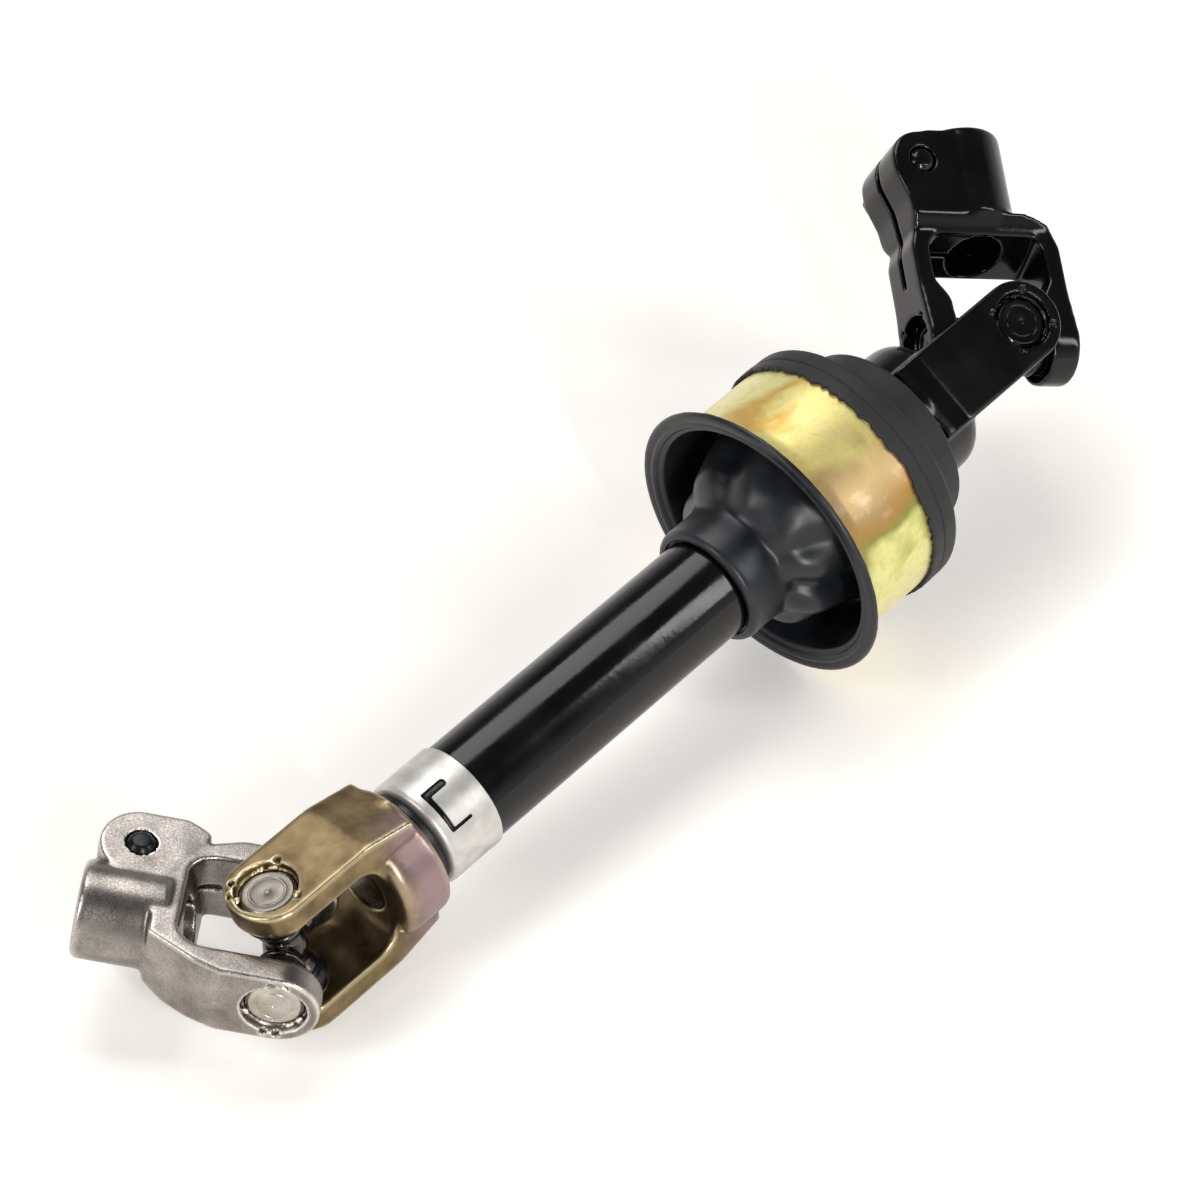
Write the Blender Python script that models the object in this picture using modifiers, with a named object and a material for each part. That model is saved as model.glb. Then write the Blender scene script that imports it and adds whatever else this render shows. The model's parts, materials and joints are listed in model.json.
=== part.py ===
"""Intermediate steering shaft: a telescoping tube between two universal joints.

The lower joint's centre is the origin of the shaft frame, whose local Z runs
up the shaft to the upper joint. Stations are distances along that Z. Each
yoke is drawn in its own frame: joint centre at the origin, ear axis along X,
and the closed end towards +Z. All lengths are in metres, angles in degrees.
"""

import math

import bmesh
import bpy
from mathutils import Matrix, Vector

PART_NAME = "intermediate_steering_shaft"

# Fits shared by the whole assembly
CLEARANCE = 0.0003
JOINT_SPAN = 0.2993

# How the shaft lies on the ground, and how its joints are bent there
SHAFT_TILT = 6.2
LOWER_PHASE = -6.6
LOWER_CROSS_ANGLE = 49.9
LOWER_CLAMP_ANGLE = 20.3
UPPER_PHASE = 33.8
UPPER_CROSS_ANGLE = -53.5
UPPER_CLAMP_ANGLE = 5.0

# Universal joint: bearing cups, crosses, seals and needles
CUP_RADIUS = 0.0080
CUP_WALL = 0.0012
CUP_FACE = 0.0216
CUP_LENGTH = 0.0100
TRUNNION_RADIUS = 0.0042
SHOULDER_RADIUS = 0.0068
SHOULDER_STATION = 0.0090
SHOULDER_THICKNESS = 0.0012
CROSS_BODY_RADIUS = 0.0060
SEAL_LIP_WALL = 0.0006
SEAL_OVERLAP = 0.0018
NEEDLES_PER_CUP = 8
NEEDLE_CAGE_LENGTH = 0.0065

# Ears, common to the four yokes
EAR_INNER = 0.0155
EAR_THICKNESS = 0.0080
EAR_RECESS = 0.0007
THROAT_FILLET = 0.0080
YOKE_EDGE = 0.0008

# Shaft yokes
SHAFT_ARM_WALL = 0.0047
LOWER_TIP_WALL = 0.0027
UPPER_TIP_WALL = 0.0047
SHAFT_YOKE_THROAT = 0.0280
SHOULDER_SETBACK = 0.0015
SHOULDER_SLOPE = 1.5
BASE_RISE = 0.0010
BASE_FRONT_CHAMFER = 0.0030
LOWER_BASE_RADIUS = 0.0205
LOWER_BASE_END = 0.0444
UPPER_BASE_RADIUS = 0.0220
UPPER_BASE_END = 0.0480
SPIGOT_LENGTH = 0.0260
BASE_CHAMFER = 0.0020
BASE_WAIST = 0.0013

# Lower clamp yoke
LOWER_CLAMP_WALL = 0.0042
LOWER_TIP_TRIM = 0.0000
LOWER_ARM_NARROWING = 0.0000
LOWER_EAR_PROUD = 0.0000
LOWER_ARM_RELIEF = 0.0000
LOWER_THROAT = 0.0295
LOWER_BRIDGE_WALL = 0.0075
LOWER_CORNER_SETBACK = 0.0135
LOWER_HUB_WALL = 0.0051
LOWER_HUB_LENGTH = 0.0200
LOWER_BORE_RADIUS = 0.0085
LOWER_BOLT_SETBACK = 0.0136
LOWER_BOLT_WEB = 0.0035
LOWER_PAD_RADIUS = 0.0115
LOWER_PAD_HALF = 0.0132
LOWER_PAD_DROP = 0.0114
LOWER_SLIT_SETBACK = 0.0095

# Upper clamp yoke
UPPER_CLAMP_WALL = 0.0039
UPPER_TIP_TRIM = 0.0002
UPPER_ARM_NARROWING = 0.0020
UPPER_EAR_PROUD = 0.0020
UPPER_ARM_RELIEF = 0.0040
UPPER_THROAT = 0.0350
UPPER_BRIDGE_WALL = 0.0053
UPPER_CORNER_SETBACK = 0.0050
UPPER_HUB_WALL = 0.0057
UPPER_HUB_LENGTH = 0.0297
UPPER_BORE_RADIUS = 0.0090
UPPER_BOLT_SETBACK = 0.0120
UPPER_BOLT_WEB = 0.0050
UPPER_PAD_RADIUS = 0.0100
UPPER_PAD_HALF = 0.0134
UPPER_PAD_DROP = 0.0040
UPPER_SLIT_SETBACK = 0.0160

# Clamp details
BRIDGE_STEP = 0.0012
BRIDGE_SLOPE = 1.5
CORNER_RUN = 0.0075
CORNER_DROP = 0.0025
BACK_CUT = 0.0040
PAD_SLOPE = 0.0090
SLIT_WIDTH = 0.0020
HUB_CHAMFER = 0.0012
BOLT_RADIUS = 0.0040
BOLT_HEAD_FLATS = 0.0130
BOLT_HEAD_HEIGHT = 0.0055
BOLT_FLANGE_RADIUS = 0.0085
BOLT_FLANGE_HEIGHT = 0.0012
BOLT_TIP = 0.0006

# Telescoping shaft
TUBE_RADIUS = 0.0160
TUBE_WALL = 0.0030
TUBE_START = 0.0527
SLEEVE_WALL = 0.0016
JOURNAL_RELIEF = 0.0013
SLIDE_TRAVEL = 0.0300
SPLINE_DEPTH = 0.0014
SPLINE_TEETH = 14
SPLINE_END = 0.1650
SLEEVE_START = 0.0640
SLEEVE_END = 0.1500

# Dust seal and end cap at the tube's lower end
CAP_WALL = 0.0006
CAP_GAP = 0.0040
CAP_LENGTH = 0.0190
CAP_EDGE = 0.0032
CAP_LIP = 0.0043
BAND_SETBACK = 0.0019
SEAL_FLANGE_LENGTH = 0.0020
TAB_SETBACK = 0.0038
TAB_LENGTH = 0.0052
TAB_HALF_ANGLE = 24.0
TAB_ANGLE = -148.0
TAB_SLOT = 0.0008

# Hole cover, set out from its rear face down to the collar of its boot
COVER_GAP = 0.0023
REAR_WALL = 0.0010
REAR_STEP_RADIUS = 0.0300
REAR_BOSS_LENGTH = 0.0130
REAR_STEP_RISE = 0.0018
REAR_NECK_LENGTH = 0.0116
REAR_LAP = 0.0100
RING_RADIUS = 0.0403
RING_WALL = 0.0008
RING_FLANGE_RADIUS = 0.0462
RING_FLARE = 0.0080
RING_LENGTH = 0.0406
BOOT_WALL = 0.0012
BOOT_REACH = 0.0234
BOOT_COLLAR_LENGTH = 0.0130
BOOT_DEPTH = 0.0236
BUSH_WALL = 0.0009
BUSH_INSET = 0.0015

# Facets round a full turn
FINE = 32
MEDIUM = 24
COARSE = 16
SMALL = 14
FLARE_STEPS = 4

# Values that follow from the sizes above
BOLT_HOLE_RADIUS = BOLT_RADIUS + CLEARANCE
EAR_BORE_RADIUS = CUP_RADIUS + CLEARANCE
EAR_OUTER = EAR_INNER + EAR_THICKNESS
CUP_MOUTH = CUP_FACE - CUP_LENGTH
TUBE_BORE = TUBE_RADIUS - TUBE_WALL
SPLINE_RADIUS = TUBE_BORE - SLEEVE_WALL - CLEARANCE * 2
SHAFT_JOURNAL_RADIUS = SPLINE_RADIUS - JOURNAL_RELIEF
CAP_RADIUS = TUBE_RADIUS + CLEARANCE + CAP_WALL
CAP_OPENING = CAP_RADIUS - CAP_LIP
CAP_FRONT = LOWER_BASE_END + CAP_GAP
JOURNAL_END = CAP_FRONT + CAP_WALL + SEAL_FLANGE_LENGTH + SLIDE_TRAVEL + CLEARANCE * 3
TUBE_END = JOINT_SPAN - UPPER_BASE_END - CLEARANCE
REAR_COVER_END = TUBE_END + CLEARANCE - COVER_GAP
REAR_WALL_STATION = REAR_COVER_END - REAR_BOSS_LENGTH - REAR_STEP_RISE
REAR_NECK_START = REAR_COVER_END - REAR_NECK_LENGTH
RING_END = REAR_WALL_STATION - REAR_WALL / 2 - CLEARANCE
RING_FRONT = RING_END - RING_LENGTH
RING_MIDDLE = RING_RADIUS - RING_WALL / 2
BOOT_START = RING_FRONT - BOOT_REACH
BOOT_COLLAR_END = BOOT_START + BOOT_COLLAR_LENGTH
PLEAT_END = RING_FRONT + BOOT_DEPTH
BUSH_RADIUS = TUBE_RADIUS + CLEARANCE + BUSH_WALL

# The boot's cone, from the pleat in to the collar: shares of its height and depth
PLEAT_SHARE = 0.14
CONE_SHAPE = ((0.84, 0.66), (0.55, 0.43), (0.22, 0.20), (0.0, 0.0))

# Turns a flat outline so that its second axis points along Z
SIDE_ON = Matrix.Rotation(math.radians(90), 4, 'X')
END_ON = Matrix.Rotation(math.radians(90), 4, 'Z') @ SIDE_ON


def clear_scene():
    for obj in list(bpy.data.objects):
        bpy.data.objects.remove(obj, do_unlink=True)


def make_collection(name):
    collection = bpy.data.collections.new(name)
    bpy.context.scene.collection.children.link(collection)
    return collection


def make_material(name, colour, roughness, metallic):
    material = bpy.data.materials.new(name)
    material.use_nodes = True
    shader = material.node_tree.nodes["Principled BSDF"]
    shader.inputs["Base Color"].default_value = (*colour, 1.0)
    shader.inputs["Roughness"].default_value = roughness
    shader.inputs["Metallic"].default_value = metallic
    return material


def make_empty(name, parent=None, location=(0, 0, 0), rotation=(0, 0, 0)):
    """An empty that carries a frame; rotation is in degrees."""
    empty = bpy.data.objects.new(name, None)
    empty.empty_display_size = 0.02
    empty.location = location
    empty.rotation_euler = [math.radians(angle) for angle in rotation]
    empty.parent = parent
    parts.objects.link(empty)
    return empty


def object_from_mesh(name, mesh):
    obj = bpy.data.objects.new(name, mesh)
    cutters.objects.link(obj)
    obj.hide_render = True
    obj.display_type = 'WIRE'
    return obj


def bake(obj):
    """Replace an object's mesh by its evaluated mesh and drop its modifiers."""
    bpy.context.view_layer.update()
    evaluated = obj.evaluated_get(bpy.context.evaluated_depsgraph_get())
    mesh = bpy.data.meshes.new_from_object(evaluated)
    obj.modifiers.clear()
    obj.data = mesh
    return obj


def arc(centre, radius, start, end, steps):
    """Points on an arc from one angle to another, both ends included."""
    points = []
    for step in range(steps + 1):
        angle = math.radians(start + (end - start) * step / steps)
        points.append((centre[0] + radius * math.cos(angle),
                       centre[1] + radius * math.sin(angle)))
    return points


def cylinder(name, radius, start, end, segments, matrix=None):
    """A cylinder along local Z between two stations, then placed by matrix."""
    bm = bmesh.new()
    bmesh.ops.create_cone(bm, cap_ends=True, segments=segments, radius1=radius,
                          radius2=radius, depth=end - start)
    bmesh.ops.translate(bm, verts=bm.verts, vec=(0, 0, (start + end) / 2))
    return object_from_bmesh(name, bm, matrix)


def box(name, low, high):
    """A box between two corners."""
    bm = bmesh.new()
    bmesh.ops.create_cube(bm, size=1.0)
    size = [high[axis] - low[axis] for axis in range(3)]
    centre = [(high[axis] + low[axis]) / 2 for axis in range(3)]
    bmesh.ops.scale(bm, verts=bm.verts, vec=size)
    bmesh.ops.translate(bm, verts=bm.verts, vec=centre)
    return object_from_bmesh(name, bm)


def object_from_bmesh(name, bm, matrix=None):
    mesh = bpy.data.meshes.new(name)
    bm.to_mesh(mesh)
    bm.free()
    if matrix is not None:
        mesh.transform(matrix)
    return object_from_mesh(name, mesh)


def turned(name, profile, segments, closed=True):
    """Turn a profile of (radius, station) points about local Z.

    A closed profile makes a ring. An open one starts and ends on the axis.
    """
    points = list(profile)
    area = 0.0
    for index, (radius, station) in enumerate(points):
        next_radius, next_station = points[(index + 1) % len(points)]
        area += radius * next_station - next_radius * station
    if area > 0:
        points.reverse()
    mesh = bpy.data.meshes.new(name)
    edges = [(index, index + 1) for index in range(len(points) - 1)]
    if closed:
        edges.append((len(points) - 1, 0))
    mesh.from_pydata([(radius, 0, station) for radius, station in points], edges, [])
    obj = object_from_mesh(name, mesh)
    screw = obj.modifiers.new("Turn", 'SCREW')
    screw.steps = segments
    screw.render_steps = segments
    screw.use_merge_vertices = True
    screw.merge_threshold = 0.00001
    return bake(obj)


def turned_shell(name, middle_line, wall, segments):
    """A sheet of even thickness, turned from its middle line."""
    return turned(name, offset_path(middle_line, wall / 2)
                  + offset_path(middle_line, -wall / 2)[::-1], segments)


def offset_path(path, distance):
    """Shift an open path sideways, to its left when distance is positive."""
    shifted = []
    for index, point in enumerate(path):
        before = Vector(path[max(index - 1, 0)])
        here = Vector(point)
        after = Vector(path[min(index + 1, len(path) - 1)])
        first = (here - before).normalized() if index > 0 else (after - here).normalized()
        second = (after - here).normalized() if index < len(path) - 1 else first
        normal = Vector((-first.y - second.y, first.x + second.x)).normalized()
        stretch = normal.dot(Vector((-first.y, first.x)))
        shifted.append(tuple(here + normal * distance / stretch))
    return shifted


def plate(name, outline, thickness, edge=0.0, matrix=None):
    """A flat outline of given thickness, its edges rounded by edge."""
    curve = bpy.data.curves.new(name, 'CURVE')
    curve.dimensions = '2D'
    curve.fill_mode = 'BOTH'
    curve.extrude = thickness / 2 - edge
    curve.bevel_depth = edge
    curve.bevel_resolution = 0
    curve.offset = -edge
    spline = curve.splines.new('POLY')
    spline.points.add(len(outline) - 1)
    for point, (x, y) in zip(spline.points, outline):
        point.co = (x, y, 0, 1)
    spline.use_cyclic_u = True
    guide = bpy.data.objects.new(name + "_outline", curve)
    cutters.objects.link(guide)
    bpy.context.view_layer.update()
    evaluated = guide.evaluated_get(bpy.context.evaluated_depsgraph_get())
    bm = bmesh.new()
    bm.from_mesh(bpy.data.meshes.new_from_object(evaluated))
    bmesh.ops.remove_doubles(bm, verts=bm.verts, dist=0.000002)
    bmesh.ops.recalc_face_normals(bm, faces=bm.faces)
    obj = object_from_bmesh(name, bm, matrix)
    obj.matrix_world = guide.matrix_world
    bpy.data.objects.remove(guide)
    return obj


def combine(target, tool, operation):
    """Boolean a tool into the target, then remove the tool."""
    modifier = target.modifiers.new(operation.title(), 'BOOLEAN')
    modifier.operation = operation
    modifier.object = tool
    bake(target)
    bpy.data.objects.remove(tool)
    return target


def join(target, tool):
    return combine(target, tool, 'UNION')


def cut(target, tool):
    return combine(target, tool, 'DIFFERENCE')


def keep_common(target, tool):
    return combine(target, tool, 'INTERSECT')


def finish(obj, material, parent, location=(0, 0, 0), rotation=(0, 0, 0)):
    """Give a shape its finish and frame and file it with the parts."""
    bm = bmesh.new()
    bm.from_mesh(obj.data)
    bmesh.ops.remove_doubles(bm, verts=bm.verts, dist=0.000002)
    bmesh.ops.dissolve_limit(bm, angle_limit=math.radians(0.2), verts=bm.verts, edges=bm.edges)
    bmesh.ops.triangulate(bm, faces=[face for face in bm.faces if len(face.verts) > 4])
    bm.to_mesh(obj.data)
    bm.free()
    obj.data.materials.clear()
    obj.data.materials.append(material)
    obj.data.shade_smooth()
    obj.data.set_sharp_from_angle(angle=math.radians(32))
    obj.parent = parent
    obj.location = location
    obj.rotation_euler = [math.radians(angle) for angle in rotation]
    obj.hide_render = False
    obj.display_type = 'TEXTURED'
    cutters.objects.unlink(obj)
    parts.objects.link(obj)
    return obj


def fork(name, throat, corner, ear_outer, ear_half, ear_tip, arm_half, back_cut=0.0, arm_relief=0.0):
    """Two arms with rounded ears, joined by a closed end.

    corner lists the outer points, from the arm to the closed end, on the +X
    side. The arms narrow from the ears' half width to their own, back_cut
    slopes the closed end's edge on the +Y side, and arm_relief thins the arms
    from inside, between the ears and the closed end.
    """
    right = [(ear_outer, -ear_tip)] + corner
    left = [(-x, z) for x, z in reversed(right)]
    arm_inner = EAR_INNER + arm_relief
    near = [(EAR_INNER, -ear_tip)]
    if arm_relief > 0:
        near = [(arm_inner, ear_half + arm_relief), (EAR_INNER, ear_half)] + near
    inside = [(-x, z) for x, z in reversed(near)]
    inside += arc((THROAT_FILLET - arm_inner, throat - THROAT_FILLET), THROAT_FILLET, 180, 90, 4)
    inside += arc((arm_inner - THROAT_FILLET, throat - THROAT_FILLET), THROAT_FILLET, 90, 0, 4)
    inside += near
    shape = plate(name, right + left + inside, ear_half * 2, YOKE_EDGE, SIDE_ON)
    reach = corner[-1][1] + YOKE_EDGE
    ear = [(y, z * ear_tip / ear_half) for y, z in arc((0, 0), ear_half, 180, 360, 12)]
    neck = ear_half + (ear_half - arm_half) * 2
    front = [(arm_half, neck), (arm_half, reach - back_cut * 2), (arm_half - back_cut, reach)]
    back = [(-arm_half, reach), (-arm_half, neck)]
    if arm_half == ear_half:
        front = front[1:]
        back = back[:1]
    envelope = plate("ear_envelope", ear + front + back, ear_outer * 4, 0.0, END_ON)
    return keep_common(shape, envelope)


def bore_ears(yoke):
    """Cup bores right through both ears, each with a shallow recess."""
    turn = Matrix.Rotation(math.radians(90), 4, 'Y')
    reach = CUP_FACE * 2
    cut(yoke, cylinder("ear_bore", EAR_BORE_RADIUS, -reach, reach, MEDIUM, turn))
    floor = CUP_FACE - CLEARANCE
    for side in (-1, 1):
        near, far = sorted((side * floor, side * reach))
        cut(yoke, cylinder("ear_recess", EAR_BORE_RADIUS + EAR_RECESS, near, far, MEDIUM, turn))
    return yoke


def shaft_yoke(name, base_radius, base_end, tip_wall):
    """A yoke whose round base carries the shaft or the tube."""
    waist = base_radius - BASE_WAIST
    shoulder = SHAFT_YOKE_THROAT - SHOULDER_SETBACK
    arm_half = EAR_BORE_RADIUS + SHAFT_ARM_WALL
    corner = [(EAR_OUTER, shoulder),
              (waist, shoulder + (EAR_OUTER - waist) * SHOULDER_SLOPE),
              (waist, base_end - BASE_CHAMFER * 2)]
    yoke = fork(name, SHAFT_YOKE_THROAT, corner, EAR_OUTER, arm_half, EAR_BORE_RADIUS + tip_wall, arm_half)
    front = SHAFT_YOKE_THROAT + BASE_RISE
    base = [(0, front),
            (base_radius - BASE_FRONT_CHAMFER, front),
            (base_radius, front + BASE_FRONT_CHAMFER),
            (base_radius, base_end - BASE_CHAMFER),
            (base_radius - BASE_CHAMFER, base_end),
            (0, base_end)]
    join(yoke, turned("yoke_base", base, FINE, closed=False))
    return bore_ears(yoke)


def bolt_place(size):
    """Where a clamp yoke's bolt crosses its side view: offset and station."""
    hub_end = size["throat"] + size["bridge_wall"] + size["hub_length"]
    return size["bore_radius"] + BOLT_RADIUS + size["bolt_web"], hub_end - size["bolt_setback"]


def clamp_yoke(name, size):
    """A yoke with a slit hub that a pinch bolt closes on a splined shaft.

    The bolt lies along Y, beside the bore on its +X side. size holds the
    yoke's own sizes by name.
    """
    bore_radius = size["bore_radius"]
    hub_radius = bore_radius + size["hub_wall"]
    throat = size["throat"]
    bridge = throat + size["bridge_wall"]
    hub_end = bridge + size["hub_length"]
    ear_outer = EAR_OUTER + size["ear_proud"]
    ear_half = EAR_BORE_RADIUS + size["clamp_wall"]
    arm_corner = throat - size["corner_setback"]
    corner = [(ear_outer, arm_corner),
              (ear_outer - CORNER_DROP, arm_corner + CORNER_RUN),
              (hub_radius + BRIDGE_STEP, bridge - BRIDGE_STEP * BRIDGE_SLOPE),
              (hub_radius, bridge)]
    yoke = fork(name, throat, corner, ear_outer, ear_half, ear_half - size["tip_trim"],
                ear_half - size["arm_narrowing"], BACK_CUT, size["arm_relief"])
    middle = (throat + bridge) / 2
    hub = [(0, middle),
           (hub_radius, middle),
           (hub_radius, hub_end - HUB_CHAMFER),
           (hub_radius - HUB_CHAMFER, hub_end),
           (0, hub_end)]
    join(yoke, turned("hub", hub, MEDIUM, closed=False))
    bolt_offset, bolt_station = bolt_place(size)
    pad_radius = size["pad_radius"]
    boss = arc((bolt_offset, bolt_station), pad_radius, 180, 0, 10)
    pad_foot = bolt_station - size["pad_drop"]
    blend = [(bolt_offset + pad_radius, pad_foot),
             (ear_outer - HUB_CHAMFER, pad_foot - PAD_SLOPE),
             (EAR_INNER + HUB_CHAMFER, throat),
             (bolt_offset - pad_radius, bridge - HUB_CHAMFER)]
    join(yoke, plate("pad", boss + blend, size["pad_half"] * 2, YOKE_EDGE, SIDE_ON))
    cut(yoke, cylinder("bore", bore_radius, throat - hub_end, hub_end * 2, MEDIUM))
    reach = bolt_offset + pad_radius * 2
    cut(yoke, box("slit", (0, -SLIT_WIDTH / 2, throat - size["slit_setback"]),
                  (reach, SLIT_WIDTH / 2, hub_end * 2)))
    bolt_line = Matrix.Translation((bolt_offset, 0, bolt_station)) @ SIDE_ON
    cut(yoke, cylinder("bolt_hole", BOLT_HOLE_RADIUS, -reach, reach, COARSE, bolt_line))
    return bore_ears(yoke)


def pinch_bolt(name, pad_half):
    """A flanged hexagon bolt along local Z, its tip towards +Z."""
    seat = -pad_half - CLEARANCE
    tip = pad_half + BOLT_TIP
    profile = [(0, tip),
               (BOLT_RADIUS - BOLT_TIP * 2, tip - BOLT_TIP / 2),
               (BOLT_RADIUS, tip - BOLT_TIP * 2),
               (BOLT_RADIUS, seat),
               (BOLT_FLANGE_RADIUS, seat),
               (BOLT_FLANGE_RADIUS, seat - BOLT_FLANGE_HEIGHT),
               (0, seat - BOLT_FLANGE_HEIGHT)]
    bolt = turned(name, profile, COARSE, closed=False)
    corner_radius = BOLT_HEAD_FLATS / math.sqrt(3)
    bottom = seat - BOLT_HEAD_HEIGHT
    return join(bolt, cylinder("hexagon", corner_radius, bottom, seat - BOLT_FLANGE_HEIGHT / 2, 6))


def cross(name):
    """Two crossed spindles, each with a shoulder below its trunnions."""
    end = CUP_FACE - CUP_WALL - CLEARANCE
    shoulder = SHOULDER_STATION
    back = shoulder - SHOULDER_THICKNESS
    half = [(TRUNNION_RADIUS - CLEARANCE, end),
            (TRUNNION_RADIUS, end - CLEARANCE),
            (TRUNNION_RADIUS, shoulder),
            (SHOULDER_RADIUS, shoulder),
            (SHOULDER_RADIUS, back),
            (CROSS_BODY_RADIUS, back - SHOULDER_THICKNESS)]
    profile = [(0, end)] + half + [(r, -z) for r, z in reversed(half)] + [(0, -end)]
    shape = turned(name, profile, SMALL, closed=False)
    shape.data.transform(Matrix.Rotation(math.radians(90), 4, 'Y'))
    second = turned("second_spindle", profile, SMALL, closed=False)
    second.data.transform(SIDE_ON)
    return join(shape, second)


def bearing_cup(name):
    """A drawn cup whose mouth faces the joint."""
    bore = CUP_RADIUS - CUP_WALL
    floor = CUP_FACE - CUP_WALL
    profile = [(0, CUP_FACE),
               (CUP_RADIUS - CUP_WALL / 2, CUP_FACE),
               (CUP_RADIUS, CUP_FACE - CUP_WALL / 2),
               (CUP_RADIUS, CUP_MOUTH),
               (bore, CUP_MOUTH),
               (bore, floor),
               (0, floor)]
    return turned(name, profile, COARSE, closed=False)


def trunnion_seal(name):
    """A rubber ring between the cross's shoulder and the cup's mouth."""
    bore = TRUNNION_RADIUS + CLEARANCE
    start = SHOULDER_STATION + CLEARANCE
    end = CUP_MOUTH - CLEARANCE
    lip = CUP_RADIUS + CLEARANCE
    profile = [(bore, start),
               (SHOULDER_RADIUS, start),
               (lip + SEAL_LIP_WALL, end + SEAL_OVERLAP),
               (lip, end + SEAL_OVERLAP),
               (lip, end),
               (bore, end)]
    return turned(name, profile, SMALL)


def needle_cage(name):
    """Needles standing round the trunnion, held by a thin cage."""
    inner = TRUNNION_RADIUS + CLEARANCE * 1.5
    outer = CUP_RADIUS - CUP_WALL - CLEARANCE
    pitch_radius = (inner + outer) / 2
    needle = (outer - inner) / 2
    outline_out = []
    outline_in = []
    pitch = 360 / NEEDLES_PER_CUP
    swing = math.degrees(needle / pitch_radius)
    for index in range(NEEDLES_PER_CUP):
        middle = index * pitch
        for share in (-0.9, 0.0, 0.9):
            bulge = needle * math.sqrt(1 - share * share)
            angle = math.radians(middle + share * swing)
            radius = pitch_radius + bulge
            outline_out.append((radius * math.cos(angle), radius * math.sin(angle)))
        angle = math.radians(middle + pitch / 2)
        outline_in.append((inner * math.cos(angle), inner * math.sin(angle)))
    start = CUP_MOUTH + CLEARANCE
    lift = Matrix.Translation((0, 0, start + NEEDLE_CAGE_LENGTH / 2))
    cage = plate(name, outline_out, NEEDLE_CAGE_LENGTH, 0.0, lift)
    hollow = plate("cage_hollow", outline_in, NEEDLE_CAGE_LENGTH * 2, 0.0, lift)
    return cut(cage, hollow)


def spline_outline(radius, depth):
    """Straight sided teeth round a circle, four points to a tooth."""
    points = []
    pitch = 360 / SPLINE_TEETH
    for tooth in range(SPLINE_TEETH):
        for share, reach in ((0.0, radius - depth), (0.30, radius - depth),
                             (0.42, radius), (0.88, radius)):
            angle = math.radians((tooth + share) * pitch)
            points.append((reach * math.cos(angle), reach * math.sin(angle)))
    return points


def spline_shaft(name):
    """The inner shaft: a journal in the lower yoke, then straight splines."""
    start = SHAFT_YOKE_THROAT + CLEARANCE
    shaft = cylinder(name, SHAFT_JOURNAL_RADIUS, start, JOURNAL_END + CLEARANCE, MEDIUM)
    length = SPLINE_END - JOURNAL_END
    place = Matrix.Translation((0, 0, JOURNAL_END + length / 2))
    teeth = plate("teeth", spline_outline(SPLINE_RADIUS, SPLINE_DEPTH), length, 0.0, place)
    return join(shaft, teeth)


def slide_sleeve(name):
    """The plastic lining of the tube, with the mating splines inside."""
    sleeve = cylinder(name, TUBE_BORE - CLEARANCE, SLEEVE_START, SLEEVE_END, MEDIUM)
    place = Matrix.Translation((0, 0, (SLEEVE_START + SLEEVE_END) / 2))
    outline = spline_outline(SPLINE_RADIUS + CLEARANCE, SPLINE_DEPTH)
    return cut(sleeve, plate("sleeve_bore", outline, SLEEVE_END, 0.0, place))


def dust_seal(name):
    """A rubber band on the journal that fills the end cap's opening."""
    bore = SHAFT_JOURNAL_RADIUS + CLEARANCE
    band = CAP_RADIUS - BAND_SETBACK
    neck = CAP_OPENING - CLEARANCE
    front = LOWER_BASE_END + CLEARANCE
    band_end = CAP_FRONT - CLEARANCE
    flange_start = CAP_FRONT + CAP_WALL + CLEARANCE
    flange_end = flange_start + SEAL_FLANGE_LENGTH
    profile = [(bore, front),
               (band - CAP_WALL, front),
               (band, front + CAP_WALL),
               (band, band_end),
               (neck, band_end),
               (neck, flange_start),
               (neck + SEAL_FLANGE_LENGTH / 2, flange_start),
               (neck + SEAL_FLANGE_LENGTH / 2, flange_end),
               (bore, flange_end)]
    return turned(name, profile, MEDIUM)


def tube_end_cap(name):
    """A drawn cap over the tube's end, with a lance tab cut in its side."""
    middle = CAP_RADIUS - CAP_WALL / 2
    face = CAP_FRONT + CAP_WALL / 2
    line = [(CAP_OPENING, face)]
    line += arc((middle - CAP_EDGE, face + CAP_EDGE), CAP_EDGE, -90, 0, 2)
    line += [(middle, CAP_FRONT + CAP_LENGTH)]
    cap = turned_shell(name, line, CAP_WALL, FINE)
    half = CAP_RADIUS * math.radians(TAB_HALF_ANGLE)
    tab_start = CAP_FRONT + TAB_SETBACK
    tab_end = tab_start + TAB_LENGTH
    outline = [(-half, tab_start),
               (half, tab_start),
               (half, tab_end),
               (half - TAB_SLOT, tab_end),
               (half - TAB_SLOT, tab_start + TAB_SLOT),
               (TAB_SLOT - half, tab_start + TAB_SLOT),
               (TAB_SLOT - half, tab_end),
               (-half, tab_end)]
    aim = Matrix.Rotation(math.radians(TAB_ANGLE), 4, 'Z')
    outward = Matrix.Translation((CAP_RADIUS, 0, 0))
    return cut(cap, plate("tab_slot", outline, TUBE_RADIUS, 0.0, aim @ outward @ END_ON))


def outer_tube(name):
    edge = TUBE_WALL / 6
    profile = [(TUBE_BORE, TUBE_START),
               (TUBE_RADIUS - edge, TUBE_START),
               (TUBE_RADIUS, TUBE_START + edge),
               (TUBE_RADIUS, TUBE_END),
               (TUBE_BORE, TUBE_END)]
    return turned(name, profile, FINE)


def upper_shaft_yoke(name):
    """The upper shaft yoke with the spigot that fills the tube's end."""
    yoke = shaft_yoke(name, UPPER_BASE_RADIUS, UPPER_BASE_END, UPPER_TIP_WALL)
    spigot = cylinder("spigot", TUBE_BORE - CLEARANCE, UPPER_BASE_END - BASE_CHAMFER,
                      UPPER_BASE_END + SPIGOT_LENGTH, MEDIUM)
    return join(yoke, spigot)


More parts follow.
